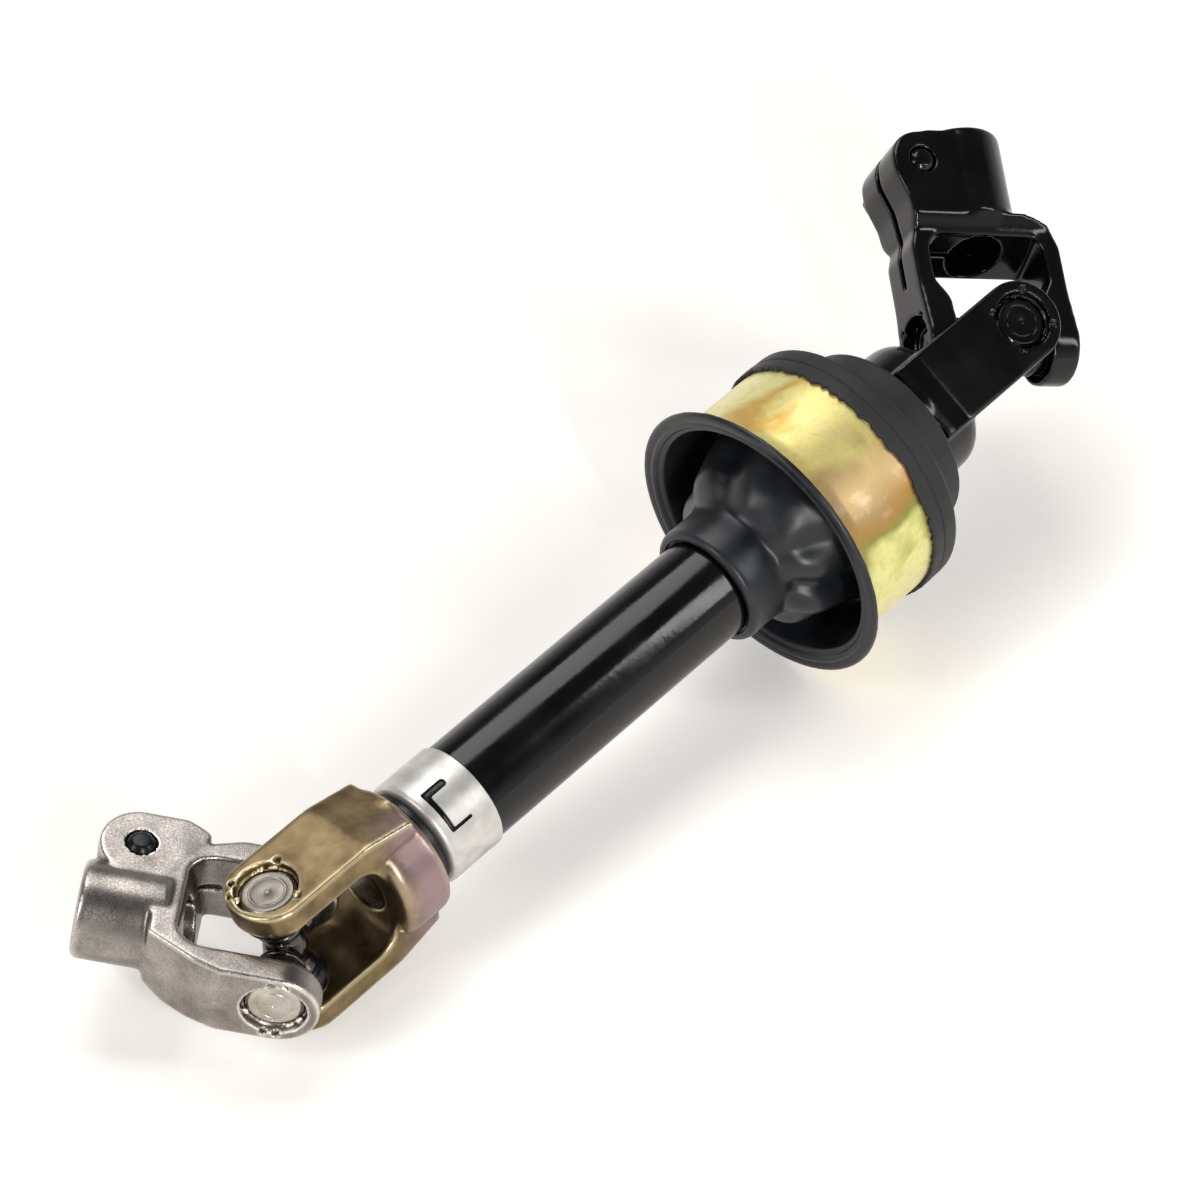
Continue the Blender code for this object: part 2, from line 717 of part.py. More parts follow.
def lower_shaft_yoke(name):
    """The lower shaft yoke, bored for the splined shaft's journal."""
    yoke = shaft_yoke(name, LOWER_BASE_RADIUS, LOWER_BASE_END, LOWER_TIP_WALL)
    bore = cylinder("journal_bore", SHAFT_JOURNAL_RADIUS + CLEARANCE, 0, LOWER_BASE_END * 2, MEDIUM)
    return cut(yoke, bore)


def bush(name, start, end):
    bore = TUBE_RADIUS + CLEARANCE
    profile = [(bore, start), (BUSH_RADIUS, start), (BUSH_RADIUS, end), (bore, end)]
    return turned(name, profile, MEDIUM)


def flare_line():
    """The middle line of the ring's flared front, from its edge inwards."""
    depth = RING_FLARE
    height = RING_FLANGE_RADIUS - RING_MIDDLE
    line = []
    for step in range(FLARE_STEPS + 1):
        angle = math.radians(90 * step / FLARE_STEPS)
        line.append((RING_FLANGE_RADIUS - height * math.sin(angle),
                     RING_FRONT + depth * (1 - math.cos(angle))))
    return line


def cover_ring(name):
    """Pressed ring: a flared front edge and a plain cylinder."""
    return turned_shell(name, flare_line() + [(RING_MIDDLE, RING_END)], RING_WALL, FINE)


def cover_boot(name):
    """Rubber boot: lip on the flare, pleat inside the ring, cone and collar."""
    step_in = RING_WALL / 2 + CLEARANCE + BOOT_WALL / 2
    wall_line = offset_path(flare_line(), step_in)
    outer = wall_line[-1][0]
    collar = BUSH_RADIUS + CLEARANCE + BOOT_WALL / 2
    pleat = (outer - collar) * PLEAT_SHARE
    line = wall_line[1:]
    line += [(outer, PLEAT_END - pleat)]
    line += arc((outer - pleat, PLEAT_END - pleat), pleat, 0, 180, 3)[1:]
    reach = outer - pleat * 2 - collar
    depth = PLEAT_END - pleat - BOOT_COLLAR_END
    for share_out, share_along in CONE_SHAPE:
        line.append((collar + reach * share_out, BOOT_COLLAR_END + depth * share_along))
    line += [(collar, BOOT_START)]
    return turned_shell(name, line, BOOT_WALL, MEDIUM)


def rear_cover(name):
    """Rubber cap over the ring's back edge, with a stepped boss and a neck."""
    skirt = RING_RADIUS + CLEARANCE + REAR_WALL / 2
    neck = BUSH_RADIUS + CLEARANCE + REAR_WALL / 2
    back = REAR_COVER_END - REAR_WALL / 2
    step = REAR_WALL_STATION + REAR_STEP_RISE
    line = [(skirt, RING_END - REAR_LAP),
            (skirt, REAR_WALL_STATION),
            (REAR_STEP_RADIUS + REAR_WALL * 2, step),
            (REAR_STEP_RADIUS, step + REAR_WALL * 2),
            (REAR_STEP_RADIUS, back - REAR_WALL),
            (REAR_STEP_RADIUS - REAR_WALL, back),
            (neck, back),
            (neck, REAR_NECK_START)]
    return turned_shell(name, line, REAR_WALL, FINE)


def fit_bearings(prefix, yoke_frame, ear_turns, finishes):
    """A cup, a seal and a caged needle set for each of a yoke's two ears."""
    for side, turn in ear_turns:
        label = prefix + "_" + side
        finish(bearing_cup(label + "_bearing_cup"), finishes["cup"], yoke_frame, rotation=turn)
        finish(trunnion_seal(label + "_trunnion_seal"), finishes["rubber"], yoke_frame, rotation=turn)
        finish(needle_cage(label + "_needle_cage"), finishes["steel"], yoke_frame, rotation=turn)


def stand_on_ground(root):
    """Move the root so that the part's box is centred over the origin."""
    bpy.context.view_layer.update()
    corners = []
    for obj in parts.objects:
        if obj.type == 'MESH':
            corners += [obj.matrix_world @ vertex.co for vertex in obj.data.vertices]
    low = [min(corner[axis] for corner in corners) for axis in range(3)]
    high = [max(corner[axis] for corner in corners) for axis in range(3)]
    root.location = (-(low[0] + high[0]) / 2, -(low[1] + high[1]) / 2, -low[2])
    bpy.context.view_layer.update()


def build_materials():
    return {
        "forged": make_material("forged_steel", (0.55, 0.52, 0.48), 0.38, 0.9),
        "gold": make_material("yellow_zinc_steel", (0.40, 0.33, 0.18), 0.35, 0.9),
        "black": make_material("black_paint", (0.012, 0.012, 0.013), 0.25, 0.0),
        "rubber": make_material("black_rubber", (0.03, 0.03, 0.033), 0.6, 0.0),
        "boot": make_material("boot_rubber", (0.06, 0.062, 0.066), 0.45, 0.0),
        "zinc": make_material("pale_zinc_sheet", (0.62, 0.61, 0.58), 0.4, 0.8),
        "chromate": make_material("yellow_chromate", (0.72, 0.60, 0.28), 0.3, 0.9),
        "steel": make_material("ground_steel", (0.35, 0.34, 0.33), 0.25, 1.0),
        "cup": make_material("cup_steel", (0.45, 0.43, 0.40), 0.3, 1.0),
        "oxide": make_material("black_oxide", (0.03, 0.03, 0.032), 0.35, 0.6),
        "plastic": make_material("natural_plastic", (0.65, 0.63, 0.56), 0.5, 0.0),
    }


def build_shaft(root, finishes):
    """The parts that lie along the shaft's own axis."""
    slide = make_empty("lower_slide", root)
    cover = make_empty("cover_turn", root)
    finish(outer_tube("outer_tube"), finishes["black"], root)
    finish(tube_end_cap("tube_end_cap"), finishes["zinc"], root)
    finish(dust_seal("tube_dust_seal"), finishes["rubber"], root)
    finish(slide_sleeve("slide_sleeve"), finishes["plastic"], root)
    finish(spline_shaft("spline_shaft"), finishes["steel"], slide)
    finish(cover_ring("cover_ring"), finishes["chromate"], cover)
    finish(cover_boot("cover_boot"), finishes["boot"], cover)
    finish(rear_cover("rear_cover"), finishes["rubber"], cover)
    front = bush("front_bush", BOOT_START + BUSH_INSET, BOOT_COLLAR_END)
    finish(front, finishes["plastic"], cover)
    rear = bush("rear_bush", REAR_NECK_START + REAR_WALL / 2, REAR_COVER_END - BUSH_INSET)
    finish(rear, finishes["plastic"], cover)
    return slide


def build_joint(prefix, carrier, station, phase, cross_angle, clamp_angle, finishes):
    """Frames and bearings of one universal joint; returns its yoke frames."""
    yoke_frame = make_empty(prefix + "_joint", carrier, (0, 0, station), (0, 0, phase))
    cross_frame = make_empty(prefix + "_cross_turn", yoke_frame, rotation=(cross_angle, 0, 0))
    clamp_frame = make_empty(prefix + "_clamp_turn", cross_frame, rotation=(0, clamp_angle, 0))
    finish(cross(prefix + "_cross"), finishes["steel"], cross_frame)
    shaft_ears = (("shaft_ear_a", (0, 90, 0)), ("shaft_ear_b", (0, -90, 0)))
    clamp_ears = (("clamp_ear_a", (-90, 0, 0)), ("clamp_ear_b", (90, 0, 0)))
    fit_bearings(prefix, yoke_frame, shaft_ears, finishes)
    fit_bearings(prefix, clamp_frame, clamp_ears, finishes)
    return yoke_frame, clamp_frame


def build_lower_joint(slide, finishes):
    yoke_frame, clamp_frame = build_joint("lower", slide, 0.0, LOWER_PHASE, LOWER_CROSS_ANGLE,
                                          LOWER_CLAMP_ANGLE, finishes)
    finish(lower_shaft_yoke("lower_shaft_yoke"), finishes["gold"], yoke_frame)
    seat = make_empty("lower_clamp_seat", clamp_frame, rotation=(180, 0, 90))
    size = {
        "throat": LOWER_THROAT,
        "bridge_wall": LOWER_BRIDGE_WALL,
        "hub_wall": LOWER_HUB_WALL,
        "hub_length": LOWER_HUB_LENGTH,
        "clamp_wall": LOWER_CLAMP_WALL,
        "tip_trim": LOWER_TIP_TRIM,
        "arm_narrowing": LOWER_ARM_NARROWING,
        "ear_proud": LOWER_EAR_PROUD,
        "arm_relief": LOWER_ARM_RELIEF,
        "corner_setback": LOWER_CORNER_SETBACK,
        "bore_radius": LOWER_BORE_RADIUS,
        "bolt_setback": LOWER_BOLT_SETBACK,
        "bolt_web": LOWER_BOLT_WEB,
        "pad_radius": LOWER_PAD_RADIUS,
        "pad_half": LOWER_PAD_HALF,
        "pad_drop": LOWER_PAD_DROP,
        "slit_setback": LOWER_SLIT_SETBACK,
    }
    finish(clamp_yoke("lower_clamp_yoke", size), finishes["forged"], seat)
    offset, station = bolt_place(size)
    finish(pinch_bolt("lower_pinch_bolt", LOWER_PAD_HALF), finishes["oxide"], seat,
           (offset, 0, station), (90, 0, 0))


def build_upper_joint(root, finishes):
    yoke_frame, clamp_frame = build_joint("upper", root, JOINT_SPAN, UPPER_PHASE,
                                          UPPER_CROSS_ANGLE, UPPER_CLAMP_ANGLE, finishes)
    finish(upper_shaft_yoke("upper_shaft_yoke"), finishes["black"], yoke_frame,
           rotation=(180, 0, 0))
    seat = make_empty("upper_clamp_seat", clamp_frame, rotation=(0, 0, 90))
    size = {
        "throat": UPPER_THROAT,
        "bridge_wall": UPPER_BRIDGE_WALL,
        "hub_wall": UPPER_HUB_WALL,
        "hub_length": UPPER_HUB_LENGTH,
        "clamp_wall": UPPER_CLAMP_WALL,
        "tip_trim": UPPER_TIP_TRIM,
        "arm_narrowing": UPPER_ARM_NARROWING,
        "ear_proud": UPPER_EAR_PROUD,
        "arm_relief": UPPER_ARM_RELIEF,
        "corner_setback": UPPER_CORNER_SETBACK,
        "bore_radius": UPPER_BORE_RADIUS,
        "bolt_setback": UPPER_BOLT_SETBACK,
        "bolt_web": UPPER_BOLT_WEB,
        "pad_radius": UPPER_PAD_RADIUS,
        "pad_half": UPPER_PAD_HALF,
        "pad_drop": UPPER_PAD_DROP,
        "slit_setback": UPPER_SLIT_SETBACK,
    }
    finish(clamp_yoke("upper_clamp_yoke", size), finishes["black"], seat)
    offset, station = bolt_place(size)
    finish(pinch_bolt("upper_pinch_bolt", UPPER_PAD_HALF), finishes["oxide"], seat,
           (offset, 0, station), (-90, 0, 0))


clear_scene()
parts = make_collection(PART_NAME)
cutters = make_collection("cutters")
shaft_root = make_empty("shaft_frame", rotation=(0, 90 - SHAFT_TILT, 0))
all_finishes = build_materials()
lower_slide = build_shaft(shaft_root, all_finishes)
build_lower_joint(lower_slide, all_finishes)
build_upper_joint(shaft_root, all_finishes)
stand_on_ground(shaft_root)
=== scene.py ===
# %% [markdown]
# # An intermediate steering shaft
# This part joins a car's steering column to its steering gear. It is a black
# telescoping tube with a universal joint at each end and, near the top, a
# rubber sealed cover that closes the hole in the floor. The solids come from
# the CAD frame; this lesson gives each of them its fine shape and its finish.

import json
import math

import bmesh
import bpy
from mathutils import Matrix, Vector, noise


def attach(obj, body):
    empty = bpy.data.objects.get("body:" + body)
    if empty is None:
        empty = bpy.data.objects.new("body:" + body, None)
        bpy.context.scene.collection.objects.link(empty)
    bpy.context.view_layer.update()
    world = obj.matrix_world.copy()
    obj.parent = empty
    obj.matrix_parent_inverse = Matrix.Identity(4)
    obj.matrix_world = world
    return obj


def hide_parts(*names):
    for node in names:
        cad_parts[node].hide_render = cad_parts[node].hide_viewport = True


MM = 0.001
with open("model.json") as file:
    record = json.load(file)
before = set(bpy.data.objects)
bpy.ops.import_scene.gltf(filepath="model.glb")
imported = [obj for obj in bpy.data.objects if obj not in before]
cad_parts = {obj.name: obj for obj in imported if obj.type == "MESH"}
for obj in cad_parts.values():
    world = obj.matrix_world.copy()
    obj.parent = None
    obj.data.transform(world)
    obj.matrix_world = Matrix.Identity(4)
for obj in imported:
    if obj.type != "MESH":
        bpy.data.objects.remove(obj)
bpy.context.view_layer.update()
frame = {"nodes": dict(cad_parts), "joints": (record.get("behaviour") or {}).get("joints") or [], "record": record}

# %% [markdown]
# ## Where things are
# Every piece is drawn in millimetres in its own little frame and then placed.
# The frames come from the joints and mounts that the CAD model states, so a
# yoke always sits on its own joint: its ears lie along X, and its closed end
# points along Z.

# %% Frames of the shaft, the yokes and the crosses
joints = {joint["name"]: joint for joint in frame["joints"]}
mounts = {mount["name"]: mount for mount in frame["record"]["mounts"]}


def place(origin, z_axis, x_axis):
    """A matrix with its Z along z_axis and its X as near x_axis as it can be."""
    z = Vector(z_axis).normalized()
    x = Vector(x_axis)
    x = (x - z * x.dot(z)).normalized()
    matrix = Matrix((x, z.cross(x), z)).transposed().to_4x4()
    matrix.translation = origin
    return matrix


shaft_line = -Vector(joints["telescope"]["axis"])
lower_centre = joints["lower_joint_swing"]["pos_m"]
upper_centre = joints["upper_joint_swing"]["pos_m"]
lower_swing = Vector(joints["lower_joint_swing"]["axis"])
lower_nod = Vector(joints["lower_joint_nod"]["axis"])
upper_swing = Vector(joints["upper_joint_swing"]["axis"])
upper_nod = Vector(joints["upper_joint_nod"]["axis"])
SHAFT = place(lower_centre, shaft_line, (0, 0, -1))
LOWER_YOKE = place(lower_centre, shaft_line, lower_swing)
UPPER_YOKE = place(upper_centre, -shaft_line, upper_swing)
LOWER_CROSS = place(lower_centre, lower_swing.cross(lower_nod), lower_swing)
UPPER_CROSS = place(upper_centre, upper_swing.cross(upper_nod), upper_swing)
LOWER_CLAMP = place(lower_centre, mounts["lower_clamp_end"]["axis"], lower_nod)
UPPER_CLAMP = place(upper_centre, mounts["upper_clamp_end"]["axis"], upper_nod)
SPAN = (Vector(upper_centre) - Vector(lower_centre)).length / MM
print("joint centres are", round(SPAN, 1), "mm apart")

# %% [markdown]
# ## The camera
# The photograph was taken with a long lens from above and to one side. The
# position below was found by fitting the shaft's own outline to the picture,
# so it is stated from the shaft's frame: the part stays put in the view.

# %% Make the camera
RIGHT = SHAFT.to_3x3() @ Vector((0.0827, -0.7196, 0.6894))
FORWARD = SHAFT.to_3x3() @ Vector((0.7400, 0.5077, 0.4412))
RIGHT = (RIGHT - FORWARD * RIGHT.dot(FORWARD)).normalized()
FORWARD.normalize()
UP = RIGHT.cross(FORWARD)
camera_data = bpy.data.cameras.new("camera")
camera_data.lens = 106.94
camera_data.sensor_width = 36
camera_data.clip_start = 0.02
camera = bpy.data.objects.new("camera", camera_data)
bpy.context.scene.collection.objects.link(camera)
eye = Matrix((RIGHT, UP, -FORWARD)).transposed().to_4x4()
eye.translation = SHAFT @ Vector((-773.5 * MM, -509.9 * MM, -315.2 * MM))
camera.matrix_world = eye
bpy.context.scene.camera = camera
print("camera height", round(eye.translation.z, 3), "m")

# %% [markdown]
# ## Tools for shapes
# Most of the part is turned, forged or pressed. A turned piece is a profile
# spun round Z. A forging starts as simple solids joined and cut by Booleans;
# a fine voxel remesh and a light smoothing then round every edge and fill
# every inside corner, as the die and the shot blasting do on the real one.

# %% Profiles and outlines
def arc(x, y, radius, start, end, steps=12):
    """Points on an arc, angles in degrees, both ends included."""
    turn = [math.radians(start + (end - start) * step / steps) for step in range(steps + 1)]
    return [(x + radius * math.cos(angle), y + radius * math.sin(angle)) for angle in turn]


def rounded(corners, steps=5, closed=True):
    """An outline from (x, y, radius) corners, each rounded by its own radius."""
    outline = []
    last = len(corners) - 1
    for index, (x, y, radius) in enumerate(corners):
        here = Vector((x, y))
        if radius <= 0 or (not closed and index in (0, last)):
            outline.append((x, y))
            continue
        before = Vector(corners[index - 1][:2]) - here
        after = Vector(corners[(index + 1) % len(corners)][:2]) - here
        if before.length < 1e-4 or after.length < 1e-4:
            continue
        half = before.angle(after) / 2
        reach = min(radius / math.tan(half), before.length * 0.49, after.length * 0.49)
        first = here + before.normalized() * reach
        second = here + after.normalized() * reach
        for step in range(steps + 1):
            t = step / steps
            point = first * (1 - t) ** 2 + here * (2 * t * (1 - t)) + second * t * t
            outline.append((point.x, point.y))
    return outline


# %% Solids
def shape_from(bm, name):
    """An object from a finished bmesh, with doubled points merged."""
    bmesh.ops.remove_doubles(bm, verts=bm.verts, dist=1e-7)
    bmesh.ops.recalc_face_normals(bm, faces=bm.faces)
    mesh = bpy.data.meshes.new(name)
    bm.to_mesh(mesh)
    bm.free()
    shape = bpy.data.objects.new(name, mesh)
    bpy.context.scene.collection.objects.link(shape)
    return shape


def turned(name, profile, segments=96):
    """Spin a closed (radius, station) profile round Z."""
    bm = bmesh.new()
    dots = [bm.verts.new((max(radius, 0) * MM, 0, station * MM)) for radius, station in profile]
    lines = [bm.edges.new((dots[i - 1], dots[i])) for i in range(len(dots))]
    bmesh.ops.spin(bm, geom=dots + lines, cent=(0, 0, 0), axis=(0, 0, 1),
                   angle=math.tau, steps=segments, use_merge=True, use_duplicate=False)
    return shape_from(bm, name)


def slab(name, outline, low, high, lay=Matrix()):
    """A flat outline given thickness from low to high, then laid by a matrix."""
    bm = bmesh.new()
    bottom = [bm.verts.new((x * MM, y * MM, low * MM)) for x, y in outline]
    top = [bm.verts.new((x * MM, y * MM, high * MM)) for x, y in outline]
    bm.faces.new(bottom)
    bm.faces.new(top)
    for i in range(len(outline)):
        bm.faces.new((bottom[i - 1], bottom[i], top[i], top[i - 1]))
    bmesh.ops.transform(bm, matrix=lay, verts=bm.verts)
    return shape_from(bm, name)


def rod(name, radius, low, high, lay=Matrix(), segments=96):
    """A round bar from low to high along Z, then laid by a matrix."""
    return slab(name, arc(0, 0, radius, 0, 360 - 360 / segments, segments - 1), low, high, lay)


def bake(shape):
    """Turn a shape's modifiers into its real mesh."""
    bpy.context.view_layer.update()
    ready = shape.evaluated_get(bpy.context.evaluated_depsgraph_get())
    mesh = bpy.data.meshes.new_from_object(ready)
    shape.modifiers.clear()
    shape.data = mesh
    return shape


HEAVY = 5000


def combine(shape, tool, operation):
    """Join, cut or trim a solid with a tool; a heavy mesh takes the quicker solver."""
    modifier = shape.modifiers.new(operation.title(), 'BOOLEAN')
    modifier.operation = operation
    if len(shape.data.polygons) > HEAVY:
        modifier.solver = 'MANIFOLD'
    modifier.object = tool
    bake(shape)
    bpy.data.objects.remove(tool)
    return shape


def largest_part(shape):
    """Drop the crumbs that a remesh can leave beside the solid."""
    bm = bmesh.new()
    bm.from_mesh(shape.data)
    parts = []
    unseen = set(bm.verts)
    while unseen:
        front = [unseen.pop()]
        part = list(front)
        while front:
            for edge in front.pop().link_edges:
                for vertex in edge.verts:
                    if vertex in unseen:
                        unseen.remove(vertex)
                        front.append(vertex)
                        part.append(vertex)
        parts.append(part)
    parts.sort(key=len)
    for part in parts[:-1]:
        bmesh.ops.delete(bm, geom=part, context='VERTS')
    bm.to_mesh(shape.data)
    bm.free()
    return shape


def forged(shape, grain=0.45, rounds=5):
    """Round a joined solid's edges as a forging's are; grain is the voxel in mm."""
    remesh = shape.modifiers.new("Remesh", 'REMESH')
    remesh.mode = 'VOXEL'
    remesh.voxel_size = grain * MM
    soften = shape.modifiers.new("Soften", 'SMOOTH')
    soften.factor = 0.5
    soften.iterations = rounds
    bake(shape)
    return largest_part(shape)


# an outline's x and y become X and Z, or Y and Z, and a rod comes to lie along X
SIDE_ON = Matrix.Rotation(math.radians(90), 4, 'X')
END_ON = Matrix.Rotation(math.radians(90), 4, 'Z') @ SIDE_ON
ALONG_X = Matrix.Rotation(math.radians(90), 4, 'Y')


# %% Finished pieces
def piece(shape, where, material, body, nodes=(), crease=38):
    """Place a shape's mesh, give it its finish and hang it on its body."""
    shape.data.shade_smooth()
    shape.data.set_sharp_from_angle(angle=math.radians(crease))
    shape.data.materials.clear()
    shape.data.materials.append(material)
    shape.data.transform(where)
    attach(shape, body)
    if nodes:
        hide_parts(*nodes)
    print(shape.name, len(shape.data.polygons), "faces on", body)
    return shape


# %% [markdown]
# ## Tools for finishes
# Colours are written as they would be on a paint card, in sRGB hex, and one
# function turns them to the linear values that the renderer mixes. Another
# adds a node, sets its inputs and links them in one go. Pattern sizes are in
# millimetres: a noise texture's scale is how many cells fit in a metre.

# %% Colours and nodes
NOISE, RAMP, MIX = "ShaderNodeTexNoise", "ShaderNodeValToRGB", "ShaderNodeMix"
RANGE, BUMP, MATHS = "ShaderNodeMapRange", "ShaderNodeBump", "ShaderNodeMath"
# a Map Range takes 0, the value, 1 and 2, the range it comes from, and 3 and 4,
# the range it goes to; a Mix takes 0, the share, and 6 and 7, the two colours


def colour(hex_code):
    """A linear colour from an sRGB hex code."""
    channels = [int(hex_code[i:i + 2], 16) / 255 for i in (1, 3, 5)]
    linear = [c / 12.92 if c <= 0.04045 else ((c + 0.055) / 1.055) ** 2.4 for c in channels]
    return (*linear, 1.0)


def add(tree, kind, inputs, out=0, stops=(), **settings):
    """Add a node with its settings and links, and hand back one of its outputs.

    An input is a number, a hex colour or a socket to link from. The stops are
    the (position, hex colour) pairs of a colour ramp.
    """
    node = tree.nodes.new(kind)
    for name, value in settings.items():
        setattr(node, name, value)
    for name, value in inputs.items():
        if isinstance(value, bpy.types.NodeSocket):
            tree.links.new(value, node.inputs[name])
        else:
            node.inputs[name].default_value = colour(value) if isinstance(value, str) else value
    for index, (position, hex_code) in enumerate(stops):
        elements = node.color_ramp.elements
        element = elements[index] if index < 2 else elements.new(position)
        element.position = position
        element.color = colour(hex_code)
    return node.outputs[out]


def start(name, **values):
    """A new material, its node tree and a place to hang patterns on."""
    material = bpy.data.materials.new(name)
    material.use_nodes = True
    tree = material.node_tree
    for key, value in values.items():
        tree.nodes["Principled BSDF"].inputs[key.replace("_", " ")].default_value = value
    return material, tree, add(tree, "ShaderNodeTexCoord", {}, "Object")


def dress(tree, base, rough, height, depth, strength=0.6):
    """Link the colour, the roughness and a relief, depth in mm, to the shader."""
    relief = add(tree, BUMP, {"Height": height, "Distance": depth * MM, "Strength": strength})
    for name, socket in (("Base Color", base), ("Roughness", rough), ("Normal", relief)):
        tree.links.new(socket, tree.nodes["Principled BSDF"].inputs[name])


def cells(millimetres):
    """The scale at which a noise texture's cells are this wide."""
    return 1 / (millimetres * MM)


def painted_light_masks(tree):
    """How far a place takes a painted highlight on an edge, and how far painted shade in an inside corner."""
    bend = add(tree, "ShaderNodeNewGeometry", {}, "Pointiness")
    edge = add(tree, RANGE, {0: bend, 1: 0.504, 2: 0.55})
    corner = add(tree, RANGE, {0: bend, 1: 0.497, 2: 0.455})
    return edge, corner


# %% [markdown]
# ## Bare forged steel
# The lower clamp yoke is drop forged steel, shot blasted and left bare under
# oil. Blasting leaves a fine satin grain of about half a millimetre, and flats
# look warm and matte. Edges carry a painted highlight, a light base colour
# where they would catch the lamps, and inside corners carry painted shade. The
# Geometry node's Pointiness finds the edges and corners, so both follow the shape.

# %% Forged steel
def forged_steel():
    material, tree, spot = start("forged_steel", Metallic=1.0)
    grain = add(tree, NOISE, {"Vector": spot, "Scale": cells(0.55), "Detail": 4.0, "Roughness": 0.6})
    cloud = add(tree, NOISE, {"Vector": spot, "Scale": cells(9), "Detail": 3.0})
    edge, corner = painted_light_masks(tree)
    dots = add(tree, RANGE, {0: grain, 1: 0.35, 2: 0.70, 4: 0.5})
    base = add(tree, RAMP, {0: cloud}, stops=((0.30, "#7F7974"), (0.52, "#9C9590"), (0.72, "#B1A9A3")))
    base = add(tree, MIX, {0: dots, 6: base, 7: "#625B56"}, 2, data_type='RGBA')
    # painted shade: the inside corners are darkened
    base = add(tree, MIX, {0: corner, 6: base, 7: "#3A332E"}, 2, data_type='RGBA')
    # painted highlight: the edges are lightened
    base = add(tree, MIX, {0: edge, 6: base, 7: "#EFE9E1"}, 2, data_type='RGBA')
    rough = add(tree, RANGE, {0: grain, 1: 0.30, 2: 0.72, 3: 0.22, 4: 0.42})
    dress(tree, base, rough, grain, 0.05, 0.8)
    return material


# %% [markdown]
# ## Yellow zinc on the lower shaft yoke
# This forging is zinc plated and passivated, which gives a brown gold skin.
# The bath runs to pink and violet on one side of the thick base, and tiny
# dark pits show where rust has started. A Mapping node measures the pattern in
# the yoke's own frame, so the violet keeps its side when the joint turns.

# %% Brown gold zinc
def gold_zinc():
    material, tree, spot = start("brown_gold_zinc", Metallic=1.0)
    spot = add(tree, "ShaderNodeMapping",
               {"Vector": spot, "Location": LOWER_YOKE.to_translation(), "Rotation": LOWER_YOKE.to_euler()},
               vector_type='TEXTURE')
    grain = add(tree, NOISE, {"Vector": spot, "Scale": cells(0.5), "Detail": 4.0})
    cloud = add(tree, NOISE, {"Vector": spot, "Scale": cells(7), "Detail": 3.0})
    edge, corner = painted_light_masks(tree)
    base = add(tree, RAMP, {0: cloud}, stops=((0.30, "#66563F"), (0.50, "#806E50"), (0.70, "#938160")))
    # the violet run starts behind the throat, towards -Y, the side that hung lowest
    length = add(tree, "ShaderNodeSeparateXYZ", {"Vector": spot}, "Z")
    side = add(tree, "ShaderNodeSeparateXYZ", {"Vector": spot}, "Y")
    wander = add(tree, RANGE, {0: cloud, 3: -3 * MM, 4: 3 * MM})
    along = add(tree, MATHS, {0: length, 1: wander}, operation='ADD')
    across = add(tree, MATHS, {0: side, 1: wander}, operation='ADD')
    behind = add(tree, RANGE, {0: along, 1: 27 * MM, 2: 36 * MM, 4: 0.85})
    below = add(tree, RANGE, {0: across, 1: -1 * MM, 2: -17 * MM})
    violet = add(tree, MATHS, {0: behind, 1: below}, operation='MULTIPLY')
    base = add(tree, MIX, {0: violet, 6: base, 7: "#9C858A"}, 2, data_type='RGBA')
    # painted shade: the inside corners are darkened
    base = add(tree, MIX, {0: corner, 6: base, 7: "#2F2413"}, 2, data_type='RGBA')
    # painted highlight: the edges are lightened
    base = add(tree, MIX, {0: edge, 6: base, 7: "#EADDB4"}, 2, data_type='RGBA')
    blots = add(tree, NOISE, {"Vector": spot, "Scale": cells(2.6), "Detail": 5.0, "Roughness": 0.7})
    pits = add(tree, RANGE, {0: blots, 1: 0.67, 2: 0.73})
    base = add(tree, MIX, {0: pits, 6: base, 7: "#33241A"}, 2, data_type='RGBA')
    rough = add(tree, RANGE, {0: grain, 1: 0.3, 2: 0.7, 3: 0.27, 4: 0.42})
    dress(tree, base, rough, grain, 0.03)
    return material


# %% [markdown]
# ## Gloss black paint
# The tube and both upper yokes carry one thick coat of gloss black enamel.
# It is nearly pure black, and it shows the lamps as clean highlights that
# tremble a little, because sprayed enamel dries with a faint orange peel of
# one to two millimetres.

# %% Black enamel
def black_enamel():
    material, tree, spot = start("black_enamel", Specular_IOR_Level=0.35)
    cloud = add(tree, NOISE, {"Vector": spot, "Scale": cells(14), "Detail": 3.0})
    peel = add(tree, NOISE, {"Vector": spot, "Scale": cells(1.6), "Detail": 1.0})
    lint = add(tree, NOISE, {"Vector": spot, "Scale": cells(0.8), "Detail": 4.0, "Roughness": 0.7})
    dust = add(tree, RANGE, {0: lint, 1: 0.66, 2: 0.76, 4: 0.5})
    base = add(tree, RAMP, {0: cloud}, stops=((0.35, "#040405"), (0.70, "#0A0A0C")))
    base = add(tree, MIX, {0: dust, 6: base, 7: "#161516"}, 2, data_type='RGBA')
    rough = add(tree, RANGE, {0: cloud, 1: 0.3, 2: 0.7, 3: 0.11, 4: 0.19})
    dress(tree, base, rough, peel, 0.05, 0.4)
    return material


# %% [markdown]
# ## Rubber
# The rear cover is a firm EPDM moulding: charcoal, matte, with a fine blasted
# mould texture. The boot is softer and thinner. Its wax bloom and the dust on
# it give wide, milky highlights along each fold.

